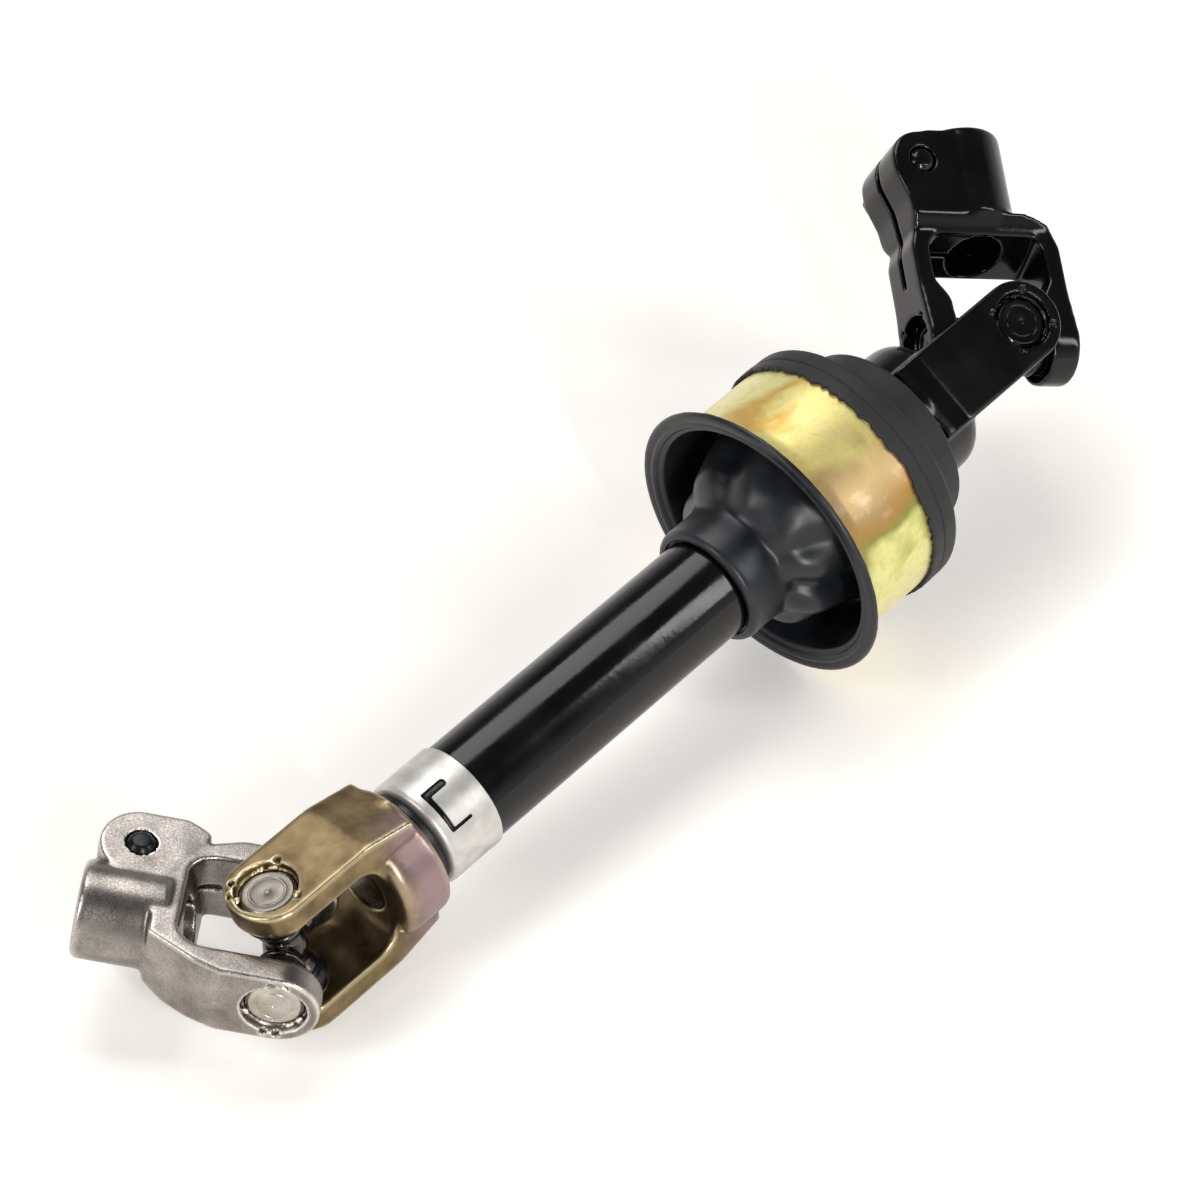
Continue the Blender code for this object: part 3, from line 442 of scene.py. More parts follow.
# %% Rubber finishes
def rubber(name, dark, light, rough_low, rough_high, depth):
    material, tree, spot = start(name, Specular_IOR_Level=0.4)
    cloud = add(tree, NOISE, {"Vector": spot, "Scale": cells(11), "Detail": 4.0})
    grain = add(tree, NOISE, {"Vector": spot, "Scale": cells(0.6), "Detail": 3.0})
    flecks = add(tree, NOISE, {"Vector": spot, "Scale": cells(1.1), "Detail": 5.0, "Roughness": 0.75})
    dust = add(tree, RANGE, {0: flecks, 1: 0.67, 2: 0.77, 4: 0.4})
    base = add(tree, RAMP, {0: cloud}, stops=((0.32, dark), (0.68, light)))
    base = add(tree, MIX, {0: dust, 6: base, 7: "#6C6E70"}, 2, data_type='RGBA')
    rough = add(tree, RANGE, {0: cloud, 1: 0.3, 2: 0.7, 3: rough_low, 4: rough_high})
    dress(tree, base, rough, grain, depth, 0.5)
    return material


# %% [markdown]
# ## Yellow chromate on the cover ring
# The pressed steel ring is zinc plated with a thick yellow chromate. The film
# changes colour with its thickness, so pale straw runs into gold, tan brown,
# olive green and a little pink, in soft patches that follow the way the ring
# drained as it hung. The patches run round the ring, so a ramp is laid along
# the angle about the shaft, and a slow noise makes its borders wander.

# %% Chromate
DRAINED = ((0.0, "#D2C274"), (0.22, "#B9A663"), (0.36, "#E9E2A2"), (0.44, "#E6DE98"), (0.478, "#D2A850"),
           (0.51, "#E2D588"), (0.565, "#D9CC7E"), (0.60, "#B59A68"), (0.635, "#A88F60"), (0.665, "#AE8440"),
           (0.695, "#8D8A40"), (0.725, "#DCDA88"), (0.83, "#EAE2A6"), (1.0, "#D2C274"))


def yellow_chromate():
    material, tree, spot = start("yellow_chromate", Metallic=0.45)
    spot = add(tree, "ShaderNodeMapping",
               {"Vector": spot, "Location": SHAFT.to_translation(), "Rotation": SHAFT.to_euler()},
               vector_type='TEXTURE')
    east = add(tree, "ShaderNodeSeparateXYZ", {"Vector": spot}, "X")
    north = add(tree, "ShaderNodeSeparateXYZ", {"Vector": spot}, "Y")
    # both are turned about, so that the ramp's ends meet on the far side
    back = add(tree, MATHS, {0: east, 1: -1.0}, operation='MULTIPLY')
    left = add(tree, MATHS, {0: north, 1: -1.0}, operation='MULTIPLY')
    angle = add(tree, MATHS, {0: left, 1: back}, operation='ARCTAN2')
    flow = add(tree, NOISE, {"Vector": spot, "Scale": cells(30), "Detail": 3.0, "Distortion": 0.6})
    wander = add(tree, RANGE, {0: flow, 1: 0.25, 2: 0.75, 3: -0.42, 4: 0.42})
    drift = add(tree, MATHS, {0: angle, 1: wander}, operation='ADD')
    along = add(tree, RANGE, {0: drift, 1: -math.pi, 2: math.pi})
    base = add(tree, RAMP, {0: along}, stops=DRAINED)
    tint = add(tree, NOISE, {"Vector": spot, "Scale": cells(17), "Detail": 4.0, "Roughness": 0.6})
    straw = add(tree, RANGE, {0: tint, 1: 0.52, 2: 0.64, 4: 0.4})
    base = add(tree, MIX, {0: straw, 6: base, 7: "#C7A262"}, 2, data_type='RGBA')
    pink = add(tree, RANGE, {0: tint, 1: 0.43, 2: 0.34, 4: 0.45})
    base = add(tree, MIX, {0: pink, 6: base, 7: "#E8BFA6"}, 2, data_type='RGBA')
    spots = add(tree, NOISE, {"Vector": spot, "Scale": cells(2.2), "Detail": 5.0, "Roughness": 0.7})
    stain = add(tree, RANGE, {0: spots, 1: 0.48, 2: 0.75, 4: 0.25})
    base = add(tree, MIX, {0: stain, 6: base, 7: "#8C7B4A"}, 2, data_type='RGBA')
    rough = add(tree, RANGE, {0: tint, 1: 0.3, 2: 0.7, 3: 0.32, 4: 0.46})
    dress(tree, base, rough, spots, 0.02, 0.5)
    return material


# %% [markdown]
# ## Other metals
# The tube's end cap is thin sheet with a pale, almost white zinc. The crosses
# and bearing cups are hardened steel, ground and oiled, and the ground marks
# are drawn coarser than they are, or they wouldn't show. The pinch bolts are
# blackened. One recipe serves them all, with its own tones, gloss and grain.

# %% Sheet zinc, ground steel and blackened steel
def plain_metal(name, dark, light, metallic, rough_low, rough_high, grain_size):
    material, tree, spot = start(name, Metallic=metallic)
    grain = add(tree, NOISE, {"Vector": spot, "Scale": cells(grain_size), "Detail": 4.0})
    cloud = add(tree, NOISE, {"Vector": spot, "Scale": cells(6), "Detail": 4.0})
    base = add(tree, RAMP, {0: cloud}, stops=((0.3, dark), (0.7, light)))
    rough = add(tree, RANGE, {0: grain, 1: 0.3, 2: 0.7, 3: rough_low, 4: rough_high})
    dress(tree, base, rough, grain, 0.015, 0.5)
    return material


FORGED = forged_steel()
GOLD = gold_zinc()
BLACK = black_enamel()
CHROMATE = yellow_chromate()
RUBBER = rubber("charcoal_rubber", "#17171A", "#222224", 0.50, 0.66, 0.05)
BOOT = rubber("boot_rubber", "#141518", "#212327", 0.28, 0.42, 0.03)
SEAL = rubber("seal_rubber", "#0C0D0F", "#161719", 0.25, 0.38, 0.01)
SHEET = plain_metal("white_zinc_sheet", "#B8B5AF", "#D8D6D1", 0.75, 0.34, 0.50, 0.5)
GROUND = plain_metal("ground_steel", "#4A4744", "#6B6764", 1.0, 0.16, 0.30, 1.2)
CUP = plain_metal("cup_steel", "#7B746C", "#958E86", 1.0, 0.26, 0.38, 0.8)
BRIGHT_CUP = plain_metal("bright_cup_steel", "#A8A096", "#C9C2B6", 1.0, 0.24, 0.36, 0.8)
OXIDE = plain_metal("blackened_steel", "#17181A", "#26272A", 0.7, 0.22, 0.36, 0.7)
# acetal takes the rubber's recipe, because both are satin moulded polymers
ACETAL = rubber("natural_acetal", "#C9C4B4", "#D6D2C4", 0.4, 0.5, 0.01)
print(len(bpy.data.materials), "materials")

# %% [markdown]
# ## A yoke's fork
# Each fork is two flat arms that end in round ears. Seen from the side it is
# a U, and seen from the end each ear is a half disc that narrows into its
# arm, so the solid is what two outlines, crossed at right angles, share. That
# keeps both views exact, where a sculpted block would drift from the CAD.

# %% Fork, ear bores and stake marks
EAR_INNER = 15.5
THROAT_ROUND = 9.6
CUP_RADIUS = 8.0
CUP_FACE = 21.6
STAKE = 1.1  # the punch's radius, and how deep it goes
SLIT_HALF = 1.0
THROUGH = 60  # longer than anything it cuts


def fork(size, corners):
    """The two arms and their closed end, from the CAD's sizes in millimetres."""
    outer, tip, half, arm = size["outer"], size["tip"], size["half"], size["arm"]
    throat, inner = size["throat"], EAR_INNER + size["relief"]
    right = [(outer, -tip, 0)] + corners
    left = [(-x, z, radius) for x, z, radius in reversed(right)]
    side = rounded(right + left, 6)
    near = [(EAR_INNER, -tip, 0)]
    if size["relief"]:
        near = [(inner, half + size["relief"] + 2, 4), (EAR_INNER, half, 4)] + near
    far = [(-x, z, radius) for x, z, radius in reversed(near)]
    bottom = [(-inner, throat, THROAT_ROUND), (inner, throat, THROAT_ROUND)]
    inside = rounded(far + bottom + near, 12, False)
    # the slab is wider than the envelope, because a Boolean may lose a solid
    # whose faces lie exactly on the faces that trim it
    body = slab("fork", side + inside, -half - 1, half + 1, SIDE_ON)
    if size["drop"]:
        # a wedge fills the throat, so that its bottom slopes across the yoke
        back = (-half - 2) if size["drop"] > 0 else (half + 2)
        wedge = [(-back, throat + 2), (-back, throat), (back, throat - abs(size["drop"])),
                 (back, throat + 2)]
        combine(body, slab("wedge", wedge, -inner - 0.5, inner + 0.5, END_ON), 'UNION')
    top = corners[-1][1] + 1
    ear = [(y, z * tip / half) for y, z in arc(0, 0, half, 180, 360, 40)]
    shoulder = half + (half - arm) * 2
    # the brow is where the front face leans back over the throat
    brow, brow_from = size["brow"]
    front = rounded([(half, 0, 0), (arm, shoulder, 6), (arm, brow_from, 4), (brow, top, 0)], 5, False)
    rear = rounded([(-arm, top, 0), (-arm, shoulder, 6), (-half, 0, 0)], 5, False)
    envelope = slab("envelope", ear + front + rear, -outer * 2, outer * 2, END_ON)
    return combine(body, envelope, 'INTERSECT')


def bore_ears(yoke, outer, stakes):
    """Cup bores, their recesses and the punched stakes that hold the cups."""
    combine(yoke, rod("bore", CUP_RADIUS + 0.3, -THROUGH, THROUGH, ALONG_X), 'DIFFERENCE')
    for side in (-1, 1):
        low, high = sorted((side * (CUP_FACE - 0.4), side * THROUGH))
        combine(yoke, rod("recess", CUP_RADIUS + 1.1, low, high, ALONG_X), 'DIFFERENCE')
        low, high = sorted((side * (outer - STAKE), side * THROUGH))
        for angle in stakes:
            turn = Matrix.Rotation(math.radians(angle), 4, 'X')
            lay = turn @ Matrix.Translation((0, 0, -(CUP_RADIUS + 1.9) * MM)) @ ALONG_X
            combine(yoke, rod("stake", STAKE, low, high, lay, 12), 'DIFFERENCE')
    return yoke


# %% [markdown]
# ## The shaft yokes
# The lower one is pressed on the splined shaft and plated gold. The upper one
# is welded in the tube and painted with it. Both are the same fork on a round
# base; only the ear tips, the bases and the finish differ.

# %% Shaft yokes
# across: outer, the ears, and base, the closed end; in depth: half, the ears,
# and arm, the arms; along Z: tip, throat and end, and the slope's two corners
LOWER_SHAFT_YOKE = {"outer": 23.5, "tip": 11.0, "half": 13.0, "arm": 13.0, "throat": 28.0,
                    "brow": (13.0, 40.0), "base": 20.5, "end": 44.4, "relief": 0.0,
                    "drop": 0.0, "slope": ((26.5, 12), (40.0, 6)), "round": 4.0, "soften": 14}
UPPER_SHAFT_YOKE = dict(LOWER_SHAFT_YOKE, tip=13.0, base=22.0, end=48.0, slope=((37.5, 4), (42.5, 3)),
                        round=8.5, soften=8)


def shaft_yoke(name, size, bore, stakes):
    """A fork on a round base; bore is the splined shaft's radius, or nothing."""
    base, end = size["base"], size["end"]
    (foot, foot_round), (waist, waist_round) = size["slope"]
    corners = [(size["outer"], foot, foot_round), (base, waist, waist_round), (base - 0.4, end - 2, 0)]
    yoke = fork(size, corners)
    profile = rounded([(0, 28.4, 0), (base, 28.4, size["round"]), (base, end, 2.2), (0, end, 0)], 10, False)
    forged(combine(yoke, turned("base", profile), 'UNION'), 0.6, size["soften"])
    if bore:
        combine(yoke, rod("journal", bore, 0, 90), 'DIFFERENCE')
    forged(bore_ears(yoke, size["outer"], stakes), 0.45, 3)
    yoke.name = name
    return yoke


piece(shaft_yoke("lower_shaft_yoke_forging", LOWER_SHAFT_YOKE, 9.8, (35, 62, 150, 250)),
      LOWER_YOKE, GOLD, "lower_shaft", ["lower_shaft_yoke"], 50)
piece(shaft_yoke("upper_shaft_yoke_forging", UPPER_SHAFT_YOKE, 0, (45, 135, 225, 315)),
      UPPER_YOKE, BLACK, "outer_shaft", ["upper_shaft_yoke"], 50)

# %% [markdown]
# ## The clamp yokes
# A clamp yoke ends in a slit hub with a serrated bore. A pad beside the hub
# carries the pinch bolt. On the lower yoke the pad is a round boss whose flat
# face runs down the arm; on the upper one it flows into the hub in a long S.

# %% Clamp yokes
# beside the fork's own sizes: the hub's radius and foot, the bolt's place, the
# pad's radius, half depth and foot, the bridge over the throat, and the slit
LOWER_CLAMP_SIZE = {"outer": 23.5, "tip": 12.5, "half": 12.5, "arm": 12.5, "relief": 0.0,
                    "throat": 29.5, "bridge": 37.0, "corner": 16.0, "brow": (8.5, 30.0), "hub": 13.6,
                    "end": 57.0, "bore": 8.5, "bolt": (16.0, 43.4), "pad": 11.5, "pad_half": 12.6,
                    "hub_foot": 33.2, "step": 1.8, "foot": 32.0, "slit": 20.0, "drop": -6.5, "flush": False,
                    "soften": 6}
UPPER_CLAMP_SIZE = {"outer": 25.5, "tip": 12.0, "half": 12.2, "arm": 10.2, "relief": 4.0,
                    "throat": 35.0, "bridge": 40.3, "corner": 30.0, "brow": (14.2, 35.4), "hub": 14.7,
                    "end": 70.0, "bore": 9.0, "bolt": (18.0, 58.0), "pad": 10.0, "pad_half": 13.4,
                    "hub_foot": 40.0, "step": 0.5, "foot": 54.0, "slit": 19.0, "drop": 8.0, "flush": True,
                    "soften": 24}


def clamp_yoke(name, size, stakes):
    """A fork with a slit hub and a bolt pad, which fills up to the hub if flush."""
    hub, end, bridge, throat, outer = (size[key] for key in ("hub", "end", "bridge", "throat", "outer"))
    bolt_x, bolt_z = size["bolt"]
    yoke = fork(size, [(outer, size["corner"], 5), (outer - 2.5, size["corner"] + 7.5, 5),
                       (hub + 1.2, bridge - size["step"], 1), (hub, bridge, 0)])
    hub_foot = size["hub_foot"]
    profile = rounded([(0, hub_foot, 0), (hub, hub_foot, 0), (hub, end, 2.0), (0, end, 0)], 6, False)
    combine(yoke, turned("hub", profile), 'UNION')
    # the pad's outline goes round the bolt, down its flank and in to the throat
    pad, foot, half = size["pad"], size["foot"], size["pad_half"]
    flank = [(bolt_x + pad, bolt_z, 0), (bolt_x + pad, foot, 6 if size["flush"] else 2),
             (outer - 0.6, foot - 9, 8)]
    if size["flush"]:
        outline = arc(bolt_x, bolt_z, pad, 90, 0, 20)
        flank += [(outer - 1.4, throat + 1, 0), (-4, throat + 1, 0)]
        back = [(-5.5, end - 1.2), (bolt_x - 4, end - 1.2)]
    else:
        outline = arc(bolt_x, bolt_z, pad, 180, 0, 40)
        flank += [(EAR_INNER + 1.2, throat, 0), (4.5, bridge - 1.2, 0)]
        back = []
    plate = slab("pad", outline + rounded(flank, 8, False)[1:] + back, -half, half, SIDE_ON)
    if size["flush"]:
        # the pad is thicker than the arms, so its faces lean in towards them
        lean_top = bridge - 0.5
        for side in (1, -1):
            lean = [(size["arm"] * side, throat), ((half + 0.4) * side, lean_top),
                    (THROUGH / 2 * side, lean_top), (THROUGH / 2 * side, throat)]
            combine(plate, slab("lean", lean, -THROUGH, THROUGH, END_ON), 'DIFFERENCE')
    forged(combine(yoke, plate, 'UNION'), 0.6, size["soften"])
    past = end + 40
    combine(yoke, rod("bore", size["bore"], throat - 40, past), 'DIFFERENCE')
    slit = [(0, size["slit"]), (80, size["slit"]), (80, past), (0, past)]
    combine(yoke, slab("slit", slit, -SLIT_HALF, SLIT_HALF, SIDE_ON), 'DIFFERENCE')
    lay = Matrix.Translation((bolt_x * MM, 0, bolt_z * MM)) @ SIDE_ON
    combine(yoke, rod("bolt_hole", 4.4, -THROUGH, THROUGH, lay, 48), 'DIFFERENCE')
    forged(bore_ears(yoke, outer, stakes), 0.45, 3)
    yoke.name = name
    return yoke


piece(clamp_yoke("lower_clamp_yoke_forging", LOWER_CLAMP_SIZE, (80, 100, 260, 280)),
      LOWER_CLAMP, FORGED, "lower_clamp", ["lower_clamp_yoke"], 50)
piece(clamp_yoke("upper_clamp_yoke_forging", UPPER_CLAMP_SIZE, (45, 135, 225, 315)),
      UPPER_CLAMP, BLACK, "upper_clamp", ["upper_clamp_yoke"], 50)


# %% [markdown]
# ## Serrations in the clamp bores
# Fine broached teeth grip the mating shaft. They are too small to survive the
# softening of the forging, so each bore gets a thin toothed liner of its own,
# cut by the same slit. The teeth are drawn coarser than the real ones, which
# would be lost in the picture.

# %% Serrated liners
def serrations(name, bore, low, high, teeth=36):
    """A ring with teeth inside, between two heights along the hub."""
    outline = []
    for corner in range(teeth * 2):
        reach = bore - (0.75 if corner % 2 else 0.05)
        angle = math.tau * corner / teeth / 2
        outline.append((reach * math.cos(angle), reach * math.sin(angle)))
    liner = rod(name, bore + 0.35, low, high)
    below, above = low - 5, high + 5
    combine(liner, slab("teeth", outline, below, above), 'DIFFERENCE')
    slit = [(0, below), (80, below), (80, above), (0, above)]
    return combine(liner, slab("slit", slit, -SLIT_HALF, SLIT_HALF, SIDE_ON), 'DIFFERENCE')


piece(serrations("lower_bore_serrations", 8.5, 30.5, 55.5), LOWER_CLAMP, FORGED, "lower_clamp",
      crease=20)
piece(serrations("upper_bore_serrations", 9.0, 36.0, 68.5), UPPER_CLAMP, BLACK, "upper_clamp",
      crease=20)


# %% [markdown]
# ## Pinch bolts
# Each is an M8 flange bolt. Its domed tip stands just proud of the pad on the
# near side, and its hexagon head seats on the far side. Shank and flange are
# one turned profile, and a turned dome trims the head's corners.

# %% Bolts
HEAD_FLATS = 13.0
HEAD_HEIGHT = 5.5


def pinch_bolt(name, half):
    """A bolt through a pad of this half thickness, with its tip along +Z."""
    seat = -half - 0.3
    top = seat - HEAD_HEIGHT
    tip = rounded([(0, half + 0.6, 0), (2.6, half + 0.5, 1.5), (4.0, half - 0.8, 0.8), (4.0, seat, 0),
                   (8.5, seat, 0.4), (8.5, seat - 1.2, 0.5), (6.9, seat - 1.7, 0), (0, seat - 1.7, 0)],
                  4, False)
    bolt = turned(name, tip, 64)
    hexagon = arc(0, 0, HEAD_FLATS / math.sqrt(3), 0, 300, 5)
    head = slab("head", hexagon, top, seat - 0.8)
    dome = rounded([(0, seat, 0), (8, seat, 0), (8, seat - 3.6, 0), (6.0, top, 0.6), (0, top, 0)], 4, False)
    combine(head, turned("dome", dome, 64), 'INTERSECT')
    return combine(bolt, head, 'UNION')


for name, half, size, clamp, facing, body in (
        ("lower_pinch_bolt", 13.2, LOWER_CLAMP_SIZE, LOWER_CLAMP, 90, "lower_clamp"),
        ("upper_pinch_bolt", 13.4, UPPER_CLAMP_SIZE, UPPER_CLAMP, -90, "upper_clamp")):
    x, z = size["bolt"]
    where = clamp @ Matrix.Translation((x * MM, 0, z * MM)) @ Matrix.Rotation(math.radians(facing), 4, 'X')
    finish = OXIDE if name.startswith("lower") else BLACK
    piece(pinch_bolt(name + "_turned", half), where, finish, body, [name], 30)


# %% [markdown]
# ## Crosses, cups and seals
# A cross is a small forging with four ground trunnions. Each trunnion runs in
# a drawn cup whose face shows the rings and the dimple left by the press, and
# a rubber lip closes the gap between cup and cross. All of them are turned,
# so profiles give them; the cross is two spindles joined at right angles.

# %% The cross
def cross(name):
    """Two turned spindles joined and softened, with trunnions along X and Y."""
    spindle = rounded([(0, 20.1, 0), (4.2, 20.1, 0.4), (4.2, 9.0, 0.3), (6.8, 9.0, 0.3), (6.8, 7.8, 0.6),
                       (5.2, 5.4, 2.0), (6.4, 0, 3.0), (5.2, -5.4, 2.0), (6.8, -7.8, 0.6),
                       (6.8, -9.0, 0.3), (4.2, -9.0, 0.3), (4.2, -20.1, 0.4), (0, -20.1, 0)], 4, False)
    shape = turned(name, spindle, 64)
    second = turned("second", spindle, 64)
    shape.data.transform(ALONG_X)
    second.data.transform(SIDE_ON)
    return forged(combine(shape, second, 'UNION'), 0.3, 3)


piece(cross("lower_cross_ground"), LOWER_CROSS, GROUND, "lower_spider", ["lower_cross"])
piece(cross("upper_cross_ground"), UPPER_CROSS, GROUND, "upper_spider", ["upper_cross"])


# %% Bearing cups, seals, needles and the stakes' raised crumbs
def bearing_cup(name):
    return turned(name, rounded([
        (0, 21.35, 0), (0.8, 21.35, 0.2), (1.0, 21.55, 0.2), (4.6, 21.6, 0.2), (4.75, 21.42, 0.1),
        (5.3, 21.42, 0.1), (5.45, 21.6, 0.2), (7.0, 21.62, 0.4), (8.0, 20.9, 0.5), (8.0, 11.6, 0.3),
        (6.8, 11.6, 0.2), (6.8, 20.4, 0), (0, 20.4, 0)], 3, False), 72)


def trunnion_seal(name):
    return turned(name, rounded([
        (4.6, 9.3, 0.2), (6.7, 9.3, 0.3), (7.4, 10.1, 0.5), (7.9, 10.4, 0.3), (9.0, 12.2, 0.5),
        (9.0, 13.1, 0.3), (8.3, 13.1, 0.1), (8.3, 11.3, 0.1), (4.6, 11.3, 0.2)], 3), 72)


def needle_cage(name, needles=22):
    """The ring of rollers between a cup and its trunnion."""
    circle, middle, radius, length = 5.5, 15.2, 0.72, 6.4
    bm = bmesh.new()
    for index in range(needles):
        angle = math.tau * index / needles
        spot = (circle * math.cos(angle) * MM, circle * math.sin(angle) * MM, middle * MM)
        bmesh.ops.create_cone(bm, cap_ends=True, segments=10, radius1=radius * MM, radius2=radius * MM,
                              depth=length * MM, matrix=Matrix.Translation(spot))
    return shape_from(bm, name)


SQUAT = Matrix.Diagonal((1.0, 1.5, 0.75, 1.0))


def stake_crumbs(name, angles):
    """Little lumps of ear metal that the punch pushed over the cup's rim."""
    rim, height = 8.5, 21.75
    bm = bmesh.new()
    for index, angle in enumerate(angles):
        turn = math.radians(angle)
        for step, size in ((-0.06, 0.75), (0.05, 0.6)):
            spot = Vector((rim * math.cos(turn + step), rim * math.sin(turn + step), height)) * MM
            lay = Matrix.Translation(spot) @ Matrix.Rotation(turn + index, 4, 'Z') @ SQUAT
            bmesh.ops.create_icosphere(bm, subdivisions=2, radius=size * MM, matrix=lay)
    return shape_from(bm, name)


def ear_turns(yoke_frame, along):
    """The two ends of a pair of ears, each with its Z pointing outwards."""
    axis, quarter = {"X": ('Y', 90), "Y": ('X', -90)}[along]
    for side, angle in (("a", quarter), ("b", -quarter)):
        yield side, yoke_frame @ Matrix.Rotation(math.radians(angle), 4, axis)


# these frames are turned so that ears a and b are the CAD's own a and b
lower_end = -Vector(mounts["lower_clamp_end"]["axis"])
upper_end = Vector(mounts["upper_clamp_end"]["axis"])
LOWER_CLAMP_TURN = place(lower_centre, lower_end, lower_nod.cross(lower_end))
UPPER_CLAMP_TURN = place(upper_centre, upper_end, upper_nod.cross(upper_end))
UPPER_SHAFT_TURN = place(upper_centre, shaft_line, upper_swing)
EARS = (("lower_shaft", LOWER_YOKE, "X", "lower_shaft", CUP, GOLD),
        ("lower_clamp", LOWER_CLAMP_TURN, "Y", "lower_clamp", BRIGHT_CUP, FORGED),
        ("upper_shaft", UPPER_SHAFT_TURN, "X", "outer_shaft", BLACK, BLACK),
        ("upper_clamp", UPPER_CLAMP_TURN, "Y", "upper_clamp", BLACK, BLACK))
for prefix, turn_frame, along, body, cup_finish, ear_finish in EARS:
    for side, where in ear_turns(turn_frame, along):
        label = prefix + "_ear_" + side
        piece(bearing_cup(label + "_cup_drawn"), where, cup_finish, body,
              [label + "_bearing_cup"], 30)
        piece(trunnion_seal(label + "_seal_lip"), where, SEAL, body,
              [label + "_trunnion_seal"])
        piece(needle_cage(label + "_needles"), where, GROUND, body,
              [label + "_needle_cage"])
        piece(stake_crumbs(label + "_stakes", (38, 62, 150, 205, 300)), where, ear_finish, body)

# %% [markdown]
# ## The telescoping tube
# The outer tube is drawn steel, painted with the upper yoke. Inside it a
# plastic sleeve carries the splines of the inner shaft. The CAD's sleeve,
# shaft and bushes have their true shape, so they stay and get a finish.

# %% Tube, sleeve and splined shaft
TUBE_END = SPAN - UPPER_SHAFT_YOKE["end"] - 0.3
tube = rounded([(13.0, 52.7, 0.3), (16.0, 52.7, 0.8), (16.0, TUBE_END, 0.3), (13.0, TUBE_END, 0.3)], 4)
piece(turned("outer_tube_drawn", tube, 128), SHAFT, BLACK, "outer_shaft", ["outer_tube"])
for node, finish in (("slide_sleeve", ACETAL), ("spline_shaft", GROUND), ("front_bush", ACETAL),
                     ("rear_bush", ACETAL)):
    for carried in frame["nodes"][node].material_slots:
        carried.material = finish

# %% [markdown]
# ## End cap and dust seal
# A pressed cap of pale zinc sheet holds the dust seal at the tube's lower
# end. A U shaped slot frees a small tab, which on the real cap is pushed into
# the tube's groove, and the black tube shows through the slot.

# %% End cap with its lance tab
CAP_RADIUS = 16.9
cap_line = rounded([(12.6, 48.4, 0), (CAP_RADIUS, 48.4, 3.4), (CAP_RADIUS, 67.4, 0.3), (16.3, 67.4, 0.2),
                    (16.3, 49.0, 2.8), (12.6, 49.0, 0.1)], 8)
cap = turned("tube_end_cap_pressed", cap_line, 144)
# the punch tore one leg of the slot wider than the other
slot_path = rounded([(-6.9, 60.4, 1.2), (-6.9, 51.9, 0.7), (6.9, 52.2, 0.8), (6.9, 60.0, 0.5),
                     (5.9, 60.0, 0.5), (5.9, 53.7, 0.5), (-4.5, 53.9, 0.6), (-4.5, 60.4, 1.2)], 4)
aim = Matrix.Rotation(math.radians(-148), 4, 'Z') @ Matrix.Translation((18 * MM, 0, 0)) @ END_ON
combine(cap, slab("slot", slot_path, -6, 6, aim), 'DIFFERENCE')
piece(cap, SHAFT, SHEET, "outer_shaft", ["tube_end_cap"], 35)
seal_line = rounded([(9.8, 44.7, 0.2), (14.2, 44.7, 0.8), (15.0, 46.2, 0.8), (14.7, 48.1, 0.4),
                     (12.3, 48.1, 0.2), (12.3, 49.3, 0.1), (13.3, 49.3, 0.3), (13.3, 51.3, 0.3),
                     (9.8, 51.3, 0.2)], 4)
piece(turned("tube_dust_seal_moulded", seal_line, 96), SHAFT, SEAL, "outer_shaft",
      ["tube_dust_seal"])

# %% [markdown]
# ## The cover ring
# Thin pressed sheet: a cylinder whose front edge flares out in a quarter
# round, so that the boot's lip can hook over it. The middle of the sheet is
# drawn first, and each face is then half the sheet's thickness away from it.

# %% Ring
RING_RADIUS = 40.3
RING_BACK = 233.4
SHEET_HALF = 0.4
FLARE_STEPS = 14
QUARTER = 1.571  # a quarter turn in radians, to the thousandth
outside, inside = [], []
for step in range(FLARE_STEPS + 1):
    angle = math.radians(90 * step / FLARE_STEPS)
    radius, station = 45.9 - 6.0 * math.sin(angle), 192.8 + 8.0 * (1 - math.cos(angle))
    lean = step / FLARE_STEPS * QUARTER
    off, past = SHEET_HALF * math.sin(lean), SHEET_HALF * math.cos(lean)
    outside.append((radius + off, station + past))
    inside.append((radius - off, station - past))
back_edge = [(RING_RADIUS, RING_BACK), (RING_RADIUS - 2 * SHEET_HALF, RING_BACK)]
ring_line = outside + back_edge + inside[::-1]
piece(turned("cover_ring_pressed", ring_line, 160), SHAFT, CHROMATE, "hole_cover",
      ["cover_ring"])


# %% [markdown]
# ## The boot
# The boot is the soft heart of the cover. A lip with two moulded beads hooks
# over the flare, the wall lines the ring, turns back deep inside in a pleat
# and runs forward as a loose cone to a collar that grips the tube. The cone
# is crumpled: a few long valleys wander along it, and it bulges between them.
# Cloth simulation would crumple it at random, so the valleys are listed one
# by one on a swept sheet, which is then given its thickness.

# %% Boot as a swept sheet with folds
LIP = [(45.7, 193.2), (45.8, 192.5), (45.5, 191.9), (44.9, 191.75), (43.6, 191.9), (42.9, 192.2),
       (42.5, 191.8), (41.9, 191.7), (41.4, 192.2), (41.0, 193.0), (40.6, 193.1), (40.1, 193.0),
       (39.6, 193.4), (39.4, 194.4), (39.0, 196.0), (38.6, 198.5), (38.4, 201.5), (38.3, 206.0),
       (38.3, 210.5), (38.0, 213.4), (37.0, 215.3), (35.6, 215.9), (34.2, 215.2), (33.3, 213.0)]
CONE = [(33.0, 211.5), (32.2, 208.8), (31.0, 205.6), (29.8, 202.2), (28.8, 199.0), (27.9, 196.0),
        (27.2, 193.4), (26.4, 191.0), (25.3, 188.9), (23.7, 187.2), (21.8, 185.9), (20.3, 184.7),
        (19.5, 183.2)]
COLLAR = [(19.2, 181.5), (19.1, 179.0), (19.1, 176.0), (19.1, 173.0), (19.1, 171.2), (18.9, 170.1),
          (18.2, 169.5), (17.4, 169.35), (16.7, 169.5)]
